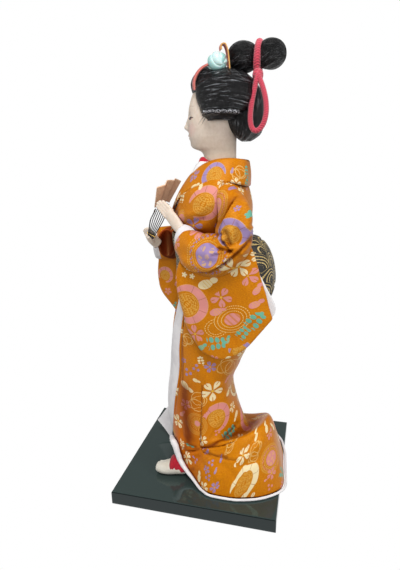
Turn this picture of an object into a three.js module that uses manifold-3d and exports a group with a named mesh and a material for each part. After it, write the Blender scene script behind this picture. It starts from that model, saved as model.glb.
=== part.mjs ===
// A geisha doll in a brocade kimono, standing on a square black plinth.
// Millimetres, +Z up. The doll faces -Y and its left hand is on the +X side.
// The origin is the centre of the plinth's underside.

import * as THREE from "three";
import { mergeVertices } from "three/addons/utils/BufferGeometryUtils.js";
import Module from "manifold-3d";

const wasm = await Module();
wasm.setup();

// Driving sizes
const PLINTH_SIDE = 112;
const PLINTH_HEIGHT = 10;
const PLINTH_EDGE = 0.8;
const GAP = 0.3; // between pieces that touch
const FLOOR = PLINTH_HEIGHT + GAP; // where the doll's feet and hem rest
const CLOTH = 1.4; // a lined edge of cloth
const CORD_RADIUS = 1.35; // the hair cord
const WAIST = 163; // where bodice and skirt meet under the sash
const TAU = Math.PI * 2;

const { lerp, smoothstep, degToRad: rad } = THREE.MathUtils;
const vec = (x, y, z) => new THREE.Vector3(x, y, z);
const bump = (x, centre, width) => Math.exp(-(((x - centre) / width) ** 2));

// Catmull-Rom interpolation in a table of rows, at t from 0 to 1 along it.
function along(rows, t) {
  const span = Math.min(Math.max(t, 0), 1) * (rows.length - 1);
  const i = Math.min(Math.floor(span), rows.length - 2);
  const f = span - i;
  const [a, b, c, d] = [-1, 0, 1, 2].map((k) => rows[Math.min(Math.max(i + k, 0), rows.length - 1)]);
  return b.map(
    (_, k) =>
      0.5 *
      (2 * b[k] +
        (c[k] - a[k]) * f +
        (2 * a[k] - 5 * b[k] + 4 * c[k] - d[k]) * f * f +
        (3 * b[k] - a[k] - 3 * c[k] + d[k]) * f * f * f),
  );
}

// The values of a table at a key in its first column, which rises or falls steadily.
function at(rows, key) {
  const rising = rows[rows.length - 1][0] > rows[0][0];
  let i = 0;
  while (i < rows.length - 2 && (rising ? key > rows[i + 1][0] : key < rows[i + 1][0])) i++;
  const f = (key - rows[i][0]) / (rows[i + 1][0] - rows[i][0]);
  return along(rows, (i + Math.min(Math.max(f, 0), 1)) / (rows.length - 1));
}

// Turns a geometry's faces outward and keeps positions only.
function closed(geometry) {
  geometry.deleteAttribute("normal");
  geometry.deleteAttribute("uv");
  const merged = mergeVertices(geometry, 1e-4);
  const p = merged.attributes.position;
  const index = merged.index.array;
  let volume = 0;
  const [a, b, c] = [vec(), vec(), vec()];
  for (let i = 0; i < index.length; i += 3) {
    a.fromBufferAttribute(p, index[i]);
    b.fromBufferAttribute(p, index[i + 1]);
    c.fromBufferAttribute(p, index[i + 2]);
    volume += a.dot(b.cross(c));
  }
  if (volume >= 0) return merged;
  for (let i = 0; i < index.length; i += 3) [index[i], index[i + 1]] = [index[i + 1], index[i]];
  return merged;
}

// A closed form from a globe: place(u, v) is the point at u round it and v from its top to its bottom
function globe(around, down, place) {
  const geometry = new THREE.SphereGeometry(1, around, down);
  const { position, uv } = geometry.attributes;
  for (let i = 0; i < position.count; i++) {
    const v = 1 - uv.getY(i);
    const u = v < 1e-6 || v > 1 - 1e-6 ? 0 : uv.getX(i) % 1;
    const p = place(u, v);
    position.setXYZ(i, p.x, p.y, p.z);
  }
  return closed(geometry);
}

// A sheet with a thickness: place(s, t) gives the middle of the cloth, s and t from 0 to 1.
function sheet(across, down, thickness, place) {
  const geometry = new THREE.BoxGeometry(1, 1, 1, across, down, 1);
  const { position } = geometry.attributes;
  for (let i = 0; i < position.count; i++) {
    const s = position.getX(i) + 0.5;
    const t = 0.5 - position.getY(i);
    const e = 0.01;
    const ds = place(Math.min(s + e, 1), t).sub(place(Math.max(s - e, 0), t));
    const dt = place(s, Math.min(t + e, 1)).sub(place(s, Math.max(t - e, 0)));
    const normal = ds.cross(dt).normalize();
    const p = place(s, t).addScaledVector(normal, position.getZ(i) * thickness);
    position.setXYZ(i, p.x, p.y, p.z);
  }
  return closed(geometry);
}

// A limb along stations [x, y, z, half width sideways, half height], its ends rounded to a point.
function limb(stations, sides, rings, shape = () => 1) {
  const up = vec(0, 0.3, 1);
  const centre = (t) => vec(...along(stations, t).slice(0, 3));
  return globe(sides, rings, (u, v) => {
    const t = Math.min(Math.max((v - 0.06) / 0.88, 0), 1);
    const cap = Math.max(0, Math.abs(v - 0.5) * 2 - 0.88) / 0.12;
    const end = Math.sqrt(Math.max(0, 1 - cap ** 2));
    const [x, y, z, wide, high] = along(stations, t);
    const forward = centre(Math.min(t + 0.02, 1)).sub(centre(Math.max(t - 0.02, 0))).normalize();
    const side = up.clone().cross(forward).normalize();
    const lift = forward.clone().cross(side);
    const k = end * shape(u, t);
    return vec(x, y, z)
      .addScaledVector(side, Math.cos(u * TAU) * wide * k)
      .addScaledVector(lift, Math.sin(u * TAU) * high * k)
      .addScaledVector(forward, (v < 0.5 ? -1 : 1) * Math.min(wide, high) * 0.5 * cap);
  });
}

// A point of the ring [z, centre y, half width, front depth, back depth], by its angle from the front
function girth([z, y, wide, front, back], angle, x = 0) {
  const [s, c] = [Math.sin(angle), Math.cos(angle)];
  return vec(x + wide * s, y - (c > 0 ? front : back) * c, z);
}

// An egg: a globe with a radius on each axis.
function egg(centre, radii, around, down, swell = () => 1) {
  return globe(around, down, (u, v) => {
    const [a, b] = [u * TAU, v * Math.PI];
    const k = swell(a, b);
    return vec(
      centre[0] + radii[0] * Math.sin(a) * Math.sin(b) * k,
      centre[1] - radii[1] * Math.cos(a) * Math.sin(b) * k,
      centre[2] + radii[2] * Math.cos(b) * k,
    );
  });
}

// A ring of cord: place(t) is its middle line, t from 0 to 1 round it, in a plane that faces along axis.
function hoop(steps, sides, radius, axis, place) {
  const geometry = new THREE.TorusGeometry(3, 1, sides, steps);
  const { position } = geometry.attributes;
  for (let i = 0; i < position.count; i++) {
    const [x, y, z] = [position.getX(i), position.getY(i), position.getZ(i)];
    const t = (Math.atan2(y, x) / TAU + 1) % 1;
    const out = Math.hypot(x, y) - 3;
    const middle = place(t);
    const forward = place((t + 0.005) % 1).sub(place((t + 0.995) % 1)).normalize();
    const side = axis.clone().cross(forward).normalize();
    const lift = forward.clone().cross(side);
    middle.addScaledVector(side, out * radius).addScaledVector(lift, z * radius);
    position.setXYZ(i, middle.x, middle.y, middle.z);
  }
  return closed(geometry);
}

const solid = (geometry) =>
  new wasm.Manifold(
    new wasm.Mesh({
      numProp: 3,
      vertProperties: Float32Array.from(geometry.attributes.position.array),
      triVerts: Uint32Array.from(geometry.index.array),
    }),
  );

function geometryOf(manifold) {
  const mesh = manifold.getMesh();
  return new THREE.BufferGeometry()
    .setAttribute("position", new THREE.BufferAttribute(mesh.vertProperties, 3))
    .setIndex(new THREE.BufferAttribute(mesh.triVerts, 1));
}

const join = (...geometries) => geometries.map(solid).reduce((all, one) => all.add(one));
// Nearly flat facets are merged within this distance, by the size of the piece.
const SMOOTH = 0.18;
const SMOOTH_SMALL = 0.1;
const SMALL = 600;
const SLIVER = 0.04;
// The largest body of a cut solid: slivers that a cut leaves loose are dropped.
const largest = (manifold) => manifold.decompose().reduce((a, b) => (a.volume() > b.volume() ? a : b));
const cut = (body, ...tools) => largest(tools.reduce((left, tool) => left.subtract(tool), body));

// A closed form of rings: side(u, t) is the wall, u round it and t from its top ring to its bottom ring.
function pillar(around, down, side, top, bottom) {
  return globe(around, down, (u, v) => {
    const t = (v - 1 / down) / (1 - 2 / down);
    if (t < -1e-6) return vec(...top);
    if (t > 1 + 1e-6) return vec(...bottom);
    return side(u, Math.min(Math.max(t, 0), 1));
  });
}

const mirrored = ([x, ...rest]) => [-x, ...rest];
const mirror = (geometry) => closed(geometry.clone().scale(-1, 1, 1));

// Plinth: a lacquered block with softened edges
function plinthShape() {
  const half = PLINTH_SIDE / 2 - PLINTH_EDGE;
  const outline = new THREE.Shape();
  outline.moveTo(-half, -half).lineTo(half, -half).lineTo(half, half).lineTo(-half, half).closePath();
  return closed(
    new THREE.ExtrudeGeometry(outline, {
      depth: PLINTH_HEIGHT - 2 * PLINTH_EDGE,
      bevelThickness: PLINTH_EDGE,
      bevelSize: PLINTH_EDGE,
      bevelSegments: 2,
      curveSegments: 1,
    }).translate(0, 0, PLINTH_EDGE),
  );
}

// Face and neck, by height: [z, centre y, half width, front depth, back depth]
const FACE = [
  [276, 13, 7, 9, 8],
  [270, 12, 12.5, 17, 13],
  [262, 11.5, 14.5, 20, 14],
  [254, 11, 15, 20.8, 12.5],
  [248, 10.5, 14.6, 20.3, 11.5],
  [242, 10, 13.3, 19.2, 11],
  [238.4, 9.6, 11.9, 17.6, 11.2],
  [235.6, 9.6, 10.7, 16, 11.2],
  [233.6, 9.8, 9.8, 11.6, 11],
  [231, 10, 9.2, 10, 10.8],
  [224, 10.4, 8.8, 10.6, 10.4],
  [217, 10.2, 10.6, 14.4, 10.4],
  [210, 9.2, 13.6, 21.6, 10.6],
  [203, 8, 15, 25.6, 10.6],
];
// Heights of the rings, closest together at the eyes, nose, lips and chin
const FACE_RINGS = [276, 268, 260, 255, 251.6, 248.2, 245.2, 242.8, 240.6, 238, 235, 232, 225, 214, 203];
function headShape(grow = 0) {
  return pillar(
    18,
    FACE_RINGS.length + 1,
    (u, t) => {
      const z = along(FACE_RINGS.map((height) => [height]), t)[0] + grow * (1 - 2 * t);
      const angle = u * TAU;
      const [, y, wide, front, back] = at(FACE, z);
      const off = Math.atan2(Math.sin(angle), Math.cos(angle));
      const nose = 3 * bump(off, 0, 0.17) * (bump(z, 248.3, 2.6) + 0.4 * bump(z, 251.4, 3.2));
      const socket = -0.8 * bump(Math.abs(off), 0.36, 0.2) * bump(z, 254.4, 2.6);
      const lips = 0.7 * bump(off, 0, 0.22) * bump(z, 242.6, 1.6);
      const chin = 0.9 * bump(off, 0, 0.35) * bump(z, 237.4, 2);
      const depth = front + grow + nose + socket + lips + chin;
      return girth([z, y, wide + grow, depth, back + grow], angle);
    },
    [0, 12.5, 277.5 + grow],
    [0, 4, 202.6 - grow],
  );
}

// Hair lobes
// A lobe by height: [z, front y, back y, inner x, outer x]
const LOBE = [
  [280.6, 9, 21, -3, 8],
  [278.4, 4.6, 25.6, -5, 13],
  [275, 0.8, 30, -6, 17],
  [270, -2.4, 33.2, -7, 20],
  [264, -1.8, 34, -7, 21.8],
  [257, 0.6, 31, -6, 22],
  [254, 2.4, 27.4, -4.6, 21.6],
  [252.4, 4, 25, -3, 19.6],
];
// A ring with squared corners between two y and two x.
function lobeRing([z, front, back, inner, outer], angle, z0, grow) {
  const square = (c) => Math.sign(c) * Math.abs(c) ** 0.82;
  return vec(
    (inner + outer) / 2 + ((outer - inner) / 2 + grow) * square(Math.sin(angle)),
    (front + back) / 2 - ((back - front) / 2 + grow) * square(Math.cos(angle)),
    z + z0,
  );
}
function lobe(rows, around, down, grow) {
  const place = (u, t) => lobeRing(along(rows, t), u * TAU, grow * (1 - 2 * t), grow);
  const pole = (row, lift) => [(row[3] + row[4]) / 2, (row[1] + row[2]) / 2, row[0] + lift];
  return pillar(around, down, place, pole(rows[0], 0.6 + grow), pole(rows[rows.length - 1], -0.3 - grow));
}
const lobeLeft = (grow = 0) => lobe(LOBE, 14, 8, grow);
const lobeRight = (grow = 0) => mirror(lobeLeft(grow));
const lobeFront = (grow = 0) => egg([0, 6.4, 272.6], [13.4 + grow, 13.8 + grow, 10.6 + grow], 14, 7);
const NAPE = [
  [277, 20, 28, -6, 6],
  [273, 17, 32.6, -10, 10],
  [267, 15, 36.4, -12.6, 12.6],
  [260, 13.6, 38.2, -13.6, 13.6],
  [252, 12.6, 38.2, -14, 14],
  [247, 16, 37.4, -13.6, 13.6],
  [243, 19.6, 35.6, -12, 12],
  [240.4, 22.4, 32, -9.4, 9.4],
  [239.2, 24.6, 29.6, -6, 6],
];
const lobeBack = (grow = 0) => lobe(NAPE, 14, 9, grow);
const knotFront = (grow = 0) => {
  const swell = (a, b) => 1 + 0.1 * bump(Math.cos(a) * Math.sin(b), -1, 0.5);
  return egg([0, 24.4, 286.7], [9.6 + grow, 9.2 + grow, 9 + grow], 12, 7, swell);
};
const knotRear = (grow = 0) => {
  const swell = (a, b) => 1 + 0.08 * bump(Math.cos(a) * Math.sin(b), 1, 0.5);
  return egg([0, 41.8, 287.4], [9 + grow, 8.7 + grow, 8.4 + grow], 12, 7, swell);
};

// Cord: a ring round the pinch of the topknot, a knot under it and a hanging loop
function cordShape(grow = 0) {
  const ring = hoop(10, 5, CORD_RADIUS + 0.85 + grow, vec(0, 1, 0), (t) =>
    vec(6.4 * Math.sin(t * TAU), 34.2 + 0.6 * Math.cos(t * TAU), 285.4 + 8.6 * Math.cos(t * TAU)),
  );
  const knot = egg([7, 34.8, 275.2], [3.2 + grow, 2.9 + grow, 3.6 + grow], 8, 5);
  const loop = hoop(15, 5, CORD_RADIUS + 0.2 + grow, vec(1, 0, 0), (t) => {
    const s = Math.sin(t * TAU);
    const low = (1 - Math.cos(t * TAU)) / 2;
    const middle = 35.2 + 4.8 * low * (1 - low);
    return vec(lerp(10.4, 15.6, low ** 0.6), middle + 6 * s * low ** 0.55, lerp(275, 243.8, low));
  });
  return geometryOf(join(ring, knot, loop));
}

// Flower: five petals swirled round a heart
const FLOWER = [8.5, 10.8, 283.4];
function flowerShape(grow = 0) {
  const petal = (a, b) => 1 + 0.08 * Math.cos(5 * (b * 0.9 + a));
  return egg(FLOWER, [4.4 + grow, 6 + grow, 5.6 + grow], 15, 6, petal);
}

// Ribbon curl behind the flower: [y, z]
const CURL = [
  [18.4, 275.6],
  [18.2, 280],
  [17.8, 284.6],
  [17.2, 288.8],
  [16, 292],
  [14.6, 292.6],
  [13.4, 291.4],
  [13.6, 289.6],
];
function curlShape(grow = 0) {
  return sheet(2, 12, 0.9 + 2 * grow, (s, t) => {
    const [y, z] = along(CURL, t);
    return vec(lerp(6.4, 11, s), y + lerp(-1.4, 0.6, s), z);
  });
}

// Ribbon laid in the groove between the front roll and the left lobe
const FRONT_RIBBON = [
  [9, 6, 282.4],
  [9.6, 1.6, 280.4],
  [10.2, -1.6, 277],
  [10.6, -3.2, 272.6],
  [10.8, -2.8, 268.4],
];
function ribbonShape(grow = 0) {
  return sheet(2, 10, 1 + 2 * grow, (s, t) => {
    const [x, y, z] = along(FRONT_RIBBON, t);
    return vec(x + lerp(-1.3, 1.3, s), y + lerp(-0.7, 1.2, s), z + lerp(0.5, 0, s));
  });
}

// Glitter cord under a side lobe
const GLITTER = [
  [17.6, 2.8, 254.6],
  [20.6, 5, 254.4],
  [22, 10, 254.3],
  [22.2, 16, 254.3],
  [21.4, 21, 254.4],
];
const glitterLeft = (grow = 0) => limb(GLITTER.map((p) => [...p, 0.8 + grow, 0.8 + grow]), 5, 8);
const glitterRight = (grow = 0) => mirror(glitterLeft(grow));

// Collars, from the nape round the left of the neck to the front: [top x, y, z, bottom x, y, z]
const COLLAR = [
  [0, 29, 226, 0, 28.6, 211.5],
  [8.5, 26.4, 227.8, 13, 27.4, 212.5],
  [12.6, 18, 228.6, 19.5, 18.5, 214.5],
  [13, 8, 227.4, 20.5, 6, 214],
  [11, -1.5, 223, 17.5, -6.5, 209.5],
  [7, -10, 215.8, 13, -15.4, 203],
  [1, -17.2, 204.4, 7, -21.2, 194],
  [-5, -21.6, 193, 1, -22.8, 185],
  [-9, -19.2, 184, -3, -19.2, 177],
];
function collarShape(depth, front, end, thickness, grow = 0) {
  const last = Math.min(1, end + grow * 0.05);
  const half = (far) => (k) => {
    const row = along(COLLAR, k * last);
    const stand = front * bump(k * last, 0.53, 0.08);
    const under = far * 2.2 * smoothstep(k * last, 0.58, 0.7) + 0.25 * stand;
    const mid = vec(0, 10, 0);
    const place = (x, y, z, lift) => {
      const inward = vec(mid.x - x, mid.y - y, 0).normalize().multiplyScalar(depth + under);
      return vec((far ? -1 : 1) * (x + inward.x), y + inward.y, z + lift);
    };
    return [place(row[0], row[1], row[2], stand), place(row[3], row[4], row[5], 0)];
  };
  const [left, right] = [half(0), half(1)];
  return sheet(16, 1, thickness + 2 * grow, (s, t) => {
    const k = Math.abs(s - 0.5) * 2;
    const [top, bottom] = s < 0.5 ? left(k) : right(k);
    const reach = bottom.distanceTo(top);
    return top.lerp(bottom, t + (grow / reach) * (2 * t - 1));
  });
}
const kimonoCollar = (grow = 0) => collarShape(0, 0, 0.985, CLOTH, grow);
const underCollar = (grow = 0) => collarShape(1.9, 2.6, 0.66, 1.2, grow);
// The three collars taken together, for the room that they need in the bodice
const collarStack = (grow = 0) => collarShape(1.8, 5, 1, 5.4, grow);
const innerCollar = (grow = 0) => collarShape(3.6, 6, 0.54, 1, grow);

// Bodice by height
const BODICE = [
  [224, 14, 12, 12, 11],
  [219, 13.5, 18, 17, 14],
  [213, 13, 23.5, 24, 15.5],
  [206, 12, 27.5, 28.6, 18.5],
  [198, 11, 28, 30.5, 20.5],
  [188, 9.5, 25.6, 30.5, 21],
  [177, 8, 22, 25.5, 21],
  [WAIST, 6, 19.5, 22, 19],
];
const bodiceShape = (grow = 0) =>
  pillar(
    18,
    8,
    (u, t) => {
      const [z, y, wide, front, back] = along(BODICE, t);
      const off = Math.atan2(Math.sin(u * TAU), Math.cos(u * TAU));
      const neckline = 7 * bump(off, 0, 0.4) * smoothstep(z, 196, 206);
      return girth([z, y, wide + grow, front + grow - neckline, back + grow], u * TAU);
    },
    [0, 14, 224.4 + grow],
    [0, 6, WAIST - grow],
  );

// Sash: a band round the waist, and the drum bow at the back
const SASH = [
  [183, 8, 26, 30.5, 24],
  [176, 7.5, 25.4, 29.4, 23.5],
  [163, 6, 24, 26, 22.5],
  [150, 5, 23.6, 25.6, 22],
  [146, 5, 23.4, 25.4, 22],
];
const sashShape = (grow = 0) =>
  pillar(
    18,
    5,
    (u, t) => {
      const [z, y, wide, front, back] = along(SASH, t);
      return girth([z + grow * (1 - 2 * t), y, wide + grow, front + grow, back + grow], u * TAU);
    },
    [0, 8, SASH[0][0] + grow],
    [0, 5, SASH[4][0] - grow],
  );
function drumShape(grow = 0) {
  return globe(14, 8, (u, v) => {
    const [a, b] = [u * TAU, v * Math.PI];
    const square = (c, p) => Math.sign(c) * Math.abs(c) ** p;
    const x = (19 + grow) * square(Math.sin(b) * Math.sin(a), 0.6);
    const z = (21.5 + grow) * square(Math.cos(b), 0.9);
    const y = -(10 + grow) * square(Math.sin(b) * Math.cos(a), 0.8);
    return vec(x, 36.4 + y - 0.17 * z - 2.4 * (z / 21.5) ** 2 * (z > 0 ? 1 : 0.3), 158.5 + z);
  });
}

// Sleeves: [x, y, z, half width, half height]
const UPPER_ARM = [
  [14, 16, 211, 6.5, 5],
  [21, 19.4, 206.6, 8, 6.8],
  [26.5, 23.4, 201, 9.6, 8.6],
  [30.5, 25.6, 194.5, 10, 10],
  [32, 25.4, 188, 9.8, 11.6],
  [31.6, 27.4, 182, 8, 9.6],
];
const FOREARM = [
  [31, 31, 184.5, 6, 6],
  [32, 26, 178.5, 8.6, 9.6],
  [32, 16, 173, 10, 12.8],
  [30.4, 5.2, 172.8, 9.4, 13],
  [28, -2.6, 176.4, 8, 11],
  [25.6, -7.6, 179.4, 6.8, 8.8],
];
const RIGHT_UPPER_ARM = [
  [-14, 15, 211, 6.5, 5],
  [-20, 15, 206.6, 8.5, 7],
  [-26, 13, 202, 10, 9.5],
  [-31, 9, 194, 10, 12],
  [-33, 4, 186, 9.6, 12],
  [-33, -1, 180, 8, 9.5],
];
const RIGHT_FOREARM = [
  [-33, 4, 183, 6.5, 8],
  [-33.5, -6, 176, 8.6, 12],
  [-31, -18, 172, 9, 13],
  [-26, -29, 170, 8.4, 13.2],
  [-20.5, -39.5, 170, 7.2, 12.5],
];
// The hollow of the right sleeve's mouth, on the side towards the body
const RIGHT_MOUTH = [-14.5, -32.8, 170];
const RIGHT_MOUTH_RADII = [7, 5.4, 11.5];

// The hanging part of a sleeve: a flat bag between a front and a back edge, with a rounded front corner
function bag(front, back, low, place, thick) {
  const geometry = new THREE.BoxGeometry(1, 1, 1, 8, 6, 1);
  const { position } = geometry.attributes;
  for (let i = 0; i < position.count; i++) {
    const s = position.getX(i) + 0.5;
    const t = 0.5 - position.getY(i);
    const side = position.getZ(i) * 2;
    const [fy, fz] = along(front, t);
    const [by, bz] = along(back, t);
    const [ly, lz] = along(low, s);
    const w = t ** 3;
    const ey = lerp(front.at(-1)[0], back.at(-1)[0], s);
    const ez = lerp(front.at(-1)[1], back.at(-1)[1], s);
    const y = lerp(fy, by, s) + (ly - ey) * w;
    const z = lerp(fz, bz, s) + (lz - ez) * w;
    const [x, half] = place(s, t);
    const swell = thick + half * Math.sqrt(Math.max(0, 1 - (2 * s - 1) ** 2)) * (1 - 0.4 * t * t);
    position.setXYZ(i, x + side * swell, y, z);
  }
  return closed(geometry);
}
const LEFT_FRONT = [[-8, 172], [-12.4, 160], [-11.8, 148], [-8.6, 133], [-5.6, 122], [-0.5, 112.5]];
const LEFT_BACK = [[31, 184], [35.5, 175], [39.2, 163], [42.4, 152], [45.4, 141.5], [48.3, 131.6]];
const LEFT_LOW = [[-0.5, 112.5], [5, 106.6], [17, 103.2], [30, 110], [40, 121], [48.3, 131.6]];
const leftHang = (grow = 0) =>
  bag(LEFT_FRONT, LEFT_BACK, LEFT_LOW, (s, t) => [lerp(30, 28, t) - 3 * s * s, 2.4], 0.9 + grow);
const RIGHT_FRONT = [[-36, 178], [-42.6, 168], [-45.6, 152], [-46, 138], [-42.5, 128], [-34, 116.5]];
const RIGHT_BACK = [[4, 180], [8, 170], [11, 158], [13.5, 148], [16, 138], [18, 129]];
const RIGHT_LOW = [[-34, 116.5], [-28, 111], [-16, 106], [-4, 110], [8, 119], [18, 129]];
const rightHang = (grow = 0) =>
  bag(RIGHT_FRONT, RIGHT_BACK, RIGHT_LOW, (s, t) => [lerp(-29, -31, t), 2.2], 0.9 + grow);
const widened = (rows, grow) => rows.map(([x, y, z, w, h]) => [x, y, z, w + grow, h + grow]);
const leftSleeve = (grow = 0) => {
  const upperArm = limb(widened(UPPER_ARM, grow), 10, 8);
  const forearm = limb(widened(FOREARM, grow), 10, 9);
  return geometryOf(join(upperArm, forearm, leftHang(grow)));
};
const rightSleeve = (grow = 0) => {
  const upperArm = limb(widened(RIGHT_UPPER_ARM, grow), 10, 8);
  const forearm = limb(widened(RIGHT_FOREARM, grow), 10, 9);
  const hollow = RIGHT_MOUTH_RADII.map((radius) => radius - grow);
  return geometryOf(cut(join(upperArm, forearm, rightHang(grow)), solid(egg(RIGHT_MOUTH, hollow, 10, 6))));
};

// White linings of the sleeves
const LEFT_CUFF = [
  [27.4, -3, 177.9, 6.6, 7.8],
  [25, -7, 180.8, 6, 8.4],
  [23.4, -10.2, 182, 5, 8.2],
];
const RIGHT_CUFF = [
  [-19, -39.8, 164.6, 3, 6.4],
  [-17.8, -41.4, 164, 3, 6.2],
  [-16.8, -42.6, 163.6, 2.4, 5],
];
const leftCuff = (grow = 0) => limb(widened(LEFT_CUFF, grow), 10, 5);
const rightCuff = (grow = 0) => limb(widened(RIGHT_CUFF, grow), 10, 5);
const LINING_BACK = [[33, 172], [37, 164], [41.4, 156], [45.2, 149], [48.6, 142.6], [50, 138.4]];
const LINING_FRONT = [[22, 170], [24, 162], [26, 154], [28, 147], [30, 141], [34, 134]];
const LINING_LOW = [[34, 136], [38, 132], [42, 130], [46, 131], [49, 134.5], [50, 138.4]];
const leftLining = (grow = 0) => bag(LINING_FRONT, LINING_BACK, LINING_LOW, () => [24.2, 0.8], 0.6 + grow);
const rightLining = (grow = 0) =>
  bag(
    LINING_FRONT.map(([y, z]) => [y - 31, z]),
    LINING_BACK.map(([y, z]) => [y - 31, z]),
    LINING_LOW.map(([y, z]) => [y - 31, z]),
    () => [-25.2, 0.4],
    0.5 + grow,
  );

// Hands: [x, y, z, half width, half height]
const LEFT_PALM = [
  [24.4, -6.4, 181.4, 2.8, 3.8],
  [22, -11, 186.4, 2.3, 3.8],
  [19.4, -16.4, 192.4, 2.1, 4],
  [17.6, -20.2, 196.4, 1.8, 3.6],
];
const LEFT_THUMB = [
  [18.6, -16, 187.8, 1.5, 1.5],
  [16.2, -19.2, 191, 1.35, 1.35],
  [14.2, -22.2, 194.4, 1, 1],
];
function fingers(root, tip, spread, radius, count, grow = 0) {
  return Array.from({ length: count }, (_, i) => {
    const k = i - (count - 1) / 2;
    const length = [0.9, 1, 0.97, 0.84][i];
    const a = vec(...root).addScaledVector(vec(...spread), k);
    const b = vec(...root).lerp(vec(...tip), length).addScaledVector(vec(...spread), k * 0.86);
    const c = a.clone().lerp(b, 0.5);
    return limb([a, c, b].map((p, j) => [p.x, p.y, p.z, radius[j] + grow, radius[j] + grow]), 5, 5);
  });
}
const leftHand = (grow = 0) =>
  geometryOf(
    join(
      limb(widened(LEFT_PALM, grow), 8, 6),
      ...fingers([18, -19.2, 195.4], [15.2, -27.2, 203], [0, 1.35, 1.25], [1.35, 1.3, 1.05], 4, grow),
      limb(widened(LEFT_THUMB, grow), 6, 6),
    ),
  );
const RIGHT_PALM = [
  [-14.5, -40, 170.5, 2.8, 3.8],
  [-10.5, -42.3, 175, 2.6, 3.8],
  [-8.5, -43.6, 178.6, 2, 3.4],
];
const RIGHT_THUMB = [
  [-8, -40.5, 172.6, 1.4, 1.4],
  [-5.2, -41.6, 174.8, 1.3, 1.3],
  [-3.2, -42.4, 177, 1, 1],
];
const rightHand = (grow = 0) =>
  geometryOf(
    join(
      limb(widened(RIGHT_PALM, grow), 8, 5),
      ...fingers([-8.6, -43.4, 178], [-6.5, -45.2, 182.8], [0.3, 1.4, 0.7], [1.35, 1.25, 1.05], 4, grow),
      limb(widened(RIGHT_THUMB, grow), 6, 5),
    ),
  );

// Feet: a sock with a parted toe
const LEFT_FOOT = [
  [27, -12, 15, 4.4, 4.2],
  [28, -19.5, 15.6, 5.4, 5.2],
  [28.4, -26, 14.4, 5.6, 4.4],
  [27.6, -30.6, 13.8, 4.8, 3.6],
];
function foot(stations, grow = 0) {
  const cleft = (u, t) => 1 - 0.22 * bump(u, 0.3, 0.05) * smoothstep(t, 0.55, 0.9);
  const shape = limb(widened(stations, grow), 12, 8, cleft);
  const { position } = shape.attributes;
  for (let i = 0; i < position.count; i++) position.setZ(i, Math.max(position.getZ(i), FLOOR - grow));
  return closed(shape);
}
const leftFoot = (grow = 0) => foot(LEFT_FOOT, grow);
const rightFoot = (grow = 0) => foot(LEFT_FOOT.map(([x, y, z, w, h]) => [x - 25, y + 9, z, w, h]), grow);

// Under robe, seen at the open front, by height: [z, centre y, half width, front depth, back depth]
const CORE = [
  [145, 3, 19.5, 20, 20],
  [129, 3, 20, 24, 21],
  [112, 3, 20.4, 28, 22],
  [98, 3, 20.4, 29.8, 19],
  [80, 2, 20, 30, 14],
  [66, 1.5, 20, 31.4, 12],
  [52, 1.5, 20.4, 32.2, 12],
  [40, 1.5, 21, 31.4, 14],
  [25, 2, 22.4, 27.4, 16],
];
const coreShape = (grow = 0) =>
  pillar(
    18,
    9,
    (u, t) => {
      const [z, y, wide, front, back] = along(CORE, t);
      return girth([z + grow * (1 - 2 * t), y, wide + grow, front + grow, back + grow], u * TAU);
    },
    [0, 3, 145 + grow],
    [0, 3, 25 - grow],
  );

// Skirt and train. Column by height, then by bearing from the front towards the left:
// [degrees, hem x, y, z, ridge x, y, z, valley x, y, z]
const COLUMN = [
  [145, 4, 22.8, 22.8, 23],
  [129, 4, 23.6, 27.2, 25.5],
  [105, 4, 24, 32, 26],
  [90, 3.5, 23.6, 32.7, 20.5],
  [71, 2.5, 23.4, 33.9, 16.2],
];
const TRAIN = [
  [0, 0, -29, 26, 0, -31.2, 36, 0, -32.6, 50],
  [24, 16, -22.4, 29.4, 15, -24, 38, 14, -24.6, 50],
  [44, 24.7, -16.7, 30, 22.8, -16.6, 38, 21, -16.4, 50],
  [62, 27.8, -12.4, 19.8, 26.4, -10, 33, 24, -9.4, 48],
  [77, 33.8, -3.5, 13, 28.8, -2.6, 31, 25.4, -3, 45],
  [91, 43.2, 7.5, FLOOR, 31, 5, 34, 26, 4, 44],
  [108, 45, 19.2, FLOOR, 31, 16.5, 41, 24, 13, 43],
  [122, 44.2, 31, FLOOR, 30, 28.5, 46.5, 19.5, 20, 40],
  [137, 39.4, 44.8, FLOOR, 24.5, 38.4, 51, 13.5, 26, 38.5],
  [150, 31, 55.4, FLOOR, 17.5, 43.5, 53, 8.5, 29, 38],
  [160, 23.6, 58.6, FLOOR, 10, 45.5, 53, 4.5, 30.5, 38],
  [175, 7, 57.4, FLOOR, 2, 45.5, 50.6, 0.5, 31.5, 38],
  [195, -14, 55.4, FLOOR, -11, 41.5, 44, -6, 30, 37],
  [212, -32, 49, FLOOR, -21, 33, 36, -13, 25, 36],
  [235, -40, 32, FLOOR, -29, 21, 30, -20.5, 16, 37],
  [260, -38, 12, FLOOR, -29, 7, 28, -24.5, 6, 42],
  [285, -35, -2, FLOOR, -28, -4, 28, -24.5, -5, 44],
  [310, -30, -14, FLOOR, -24, -13, 28, -21.5, -13, 46],
  [335, -17, -27, 16, -15, -28, 32, -14, -28.6, 50],
  [360, 0, -29, 26, 0, -31.2, 36, 0, -32.6, 50],
];
const hemAt = (degrees) => at(TRAIN, degrees).slice(1, 4);
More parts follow.
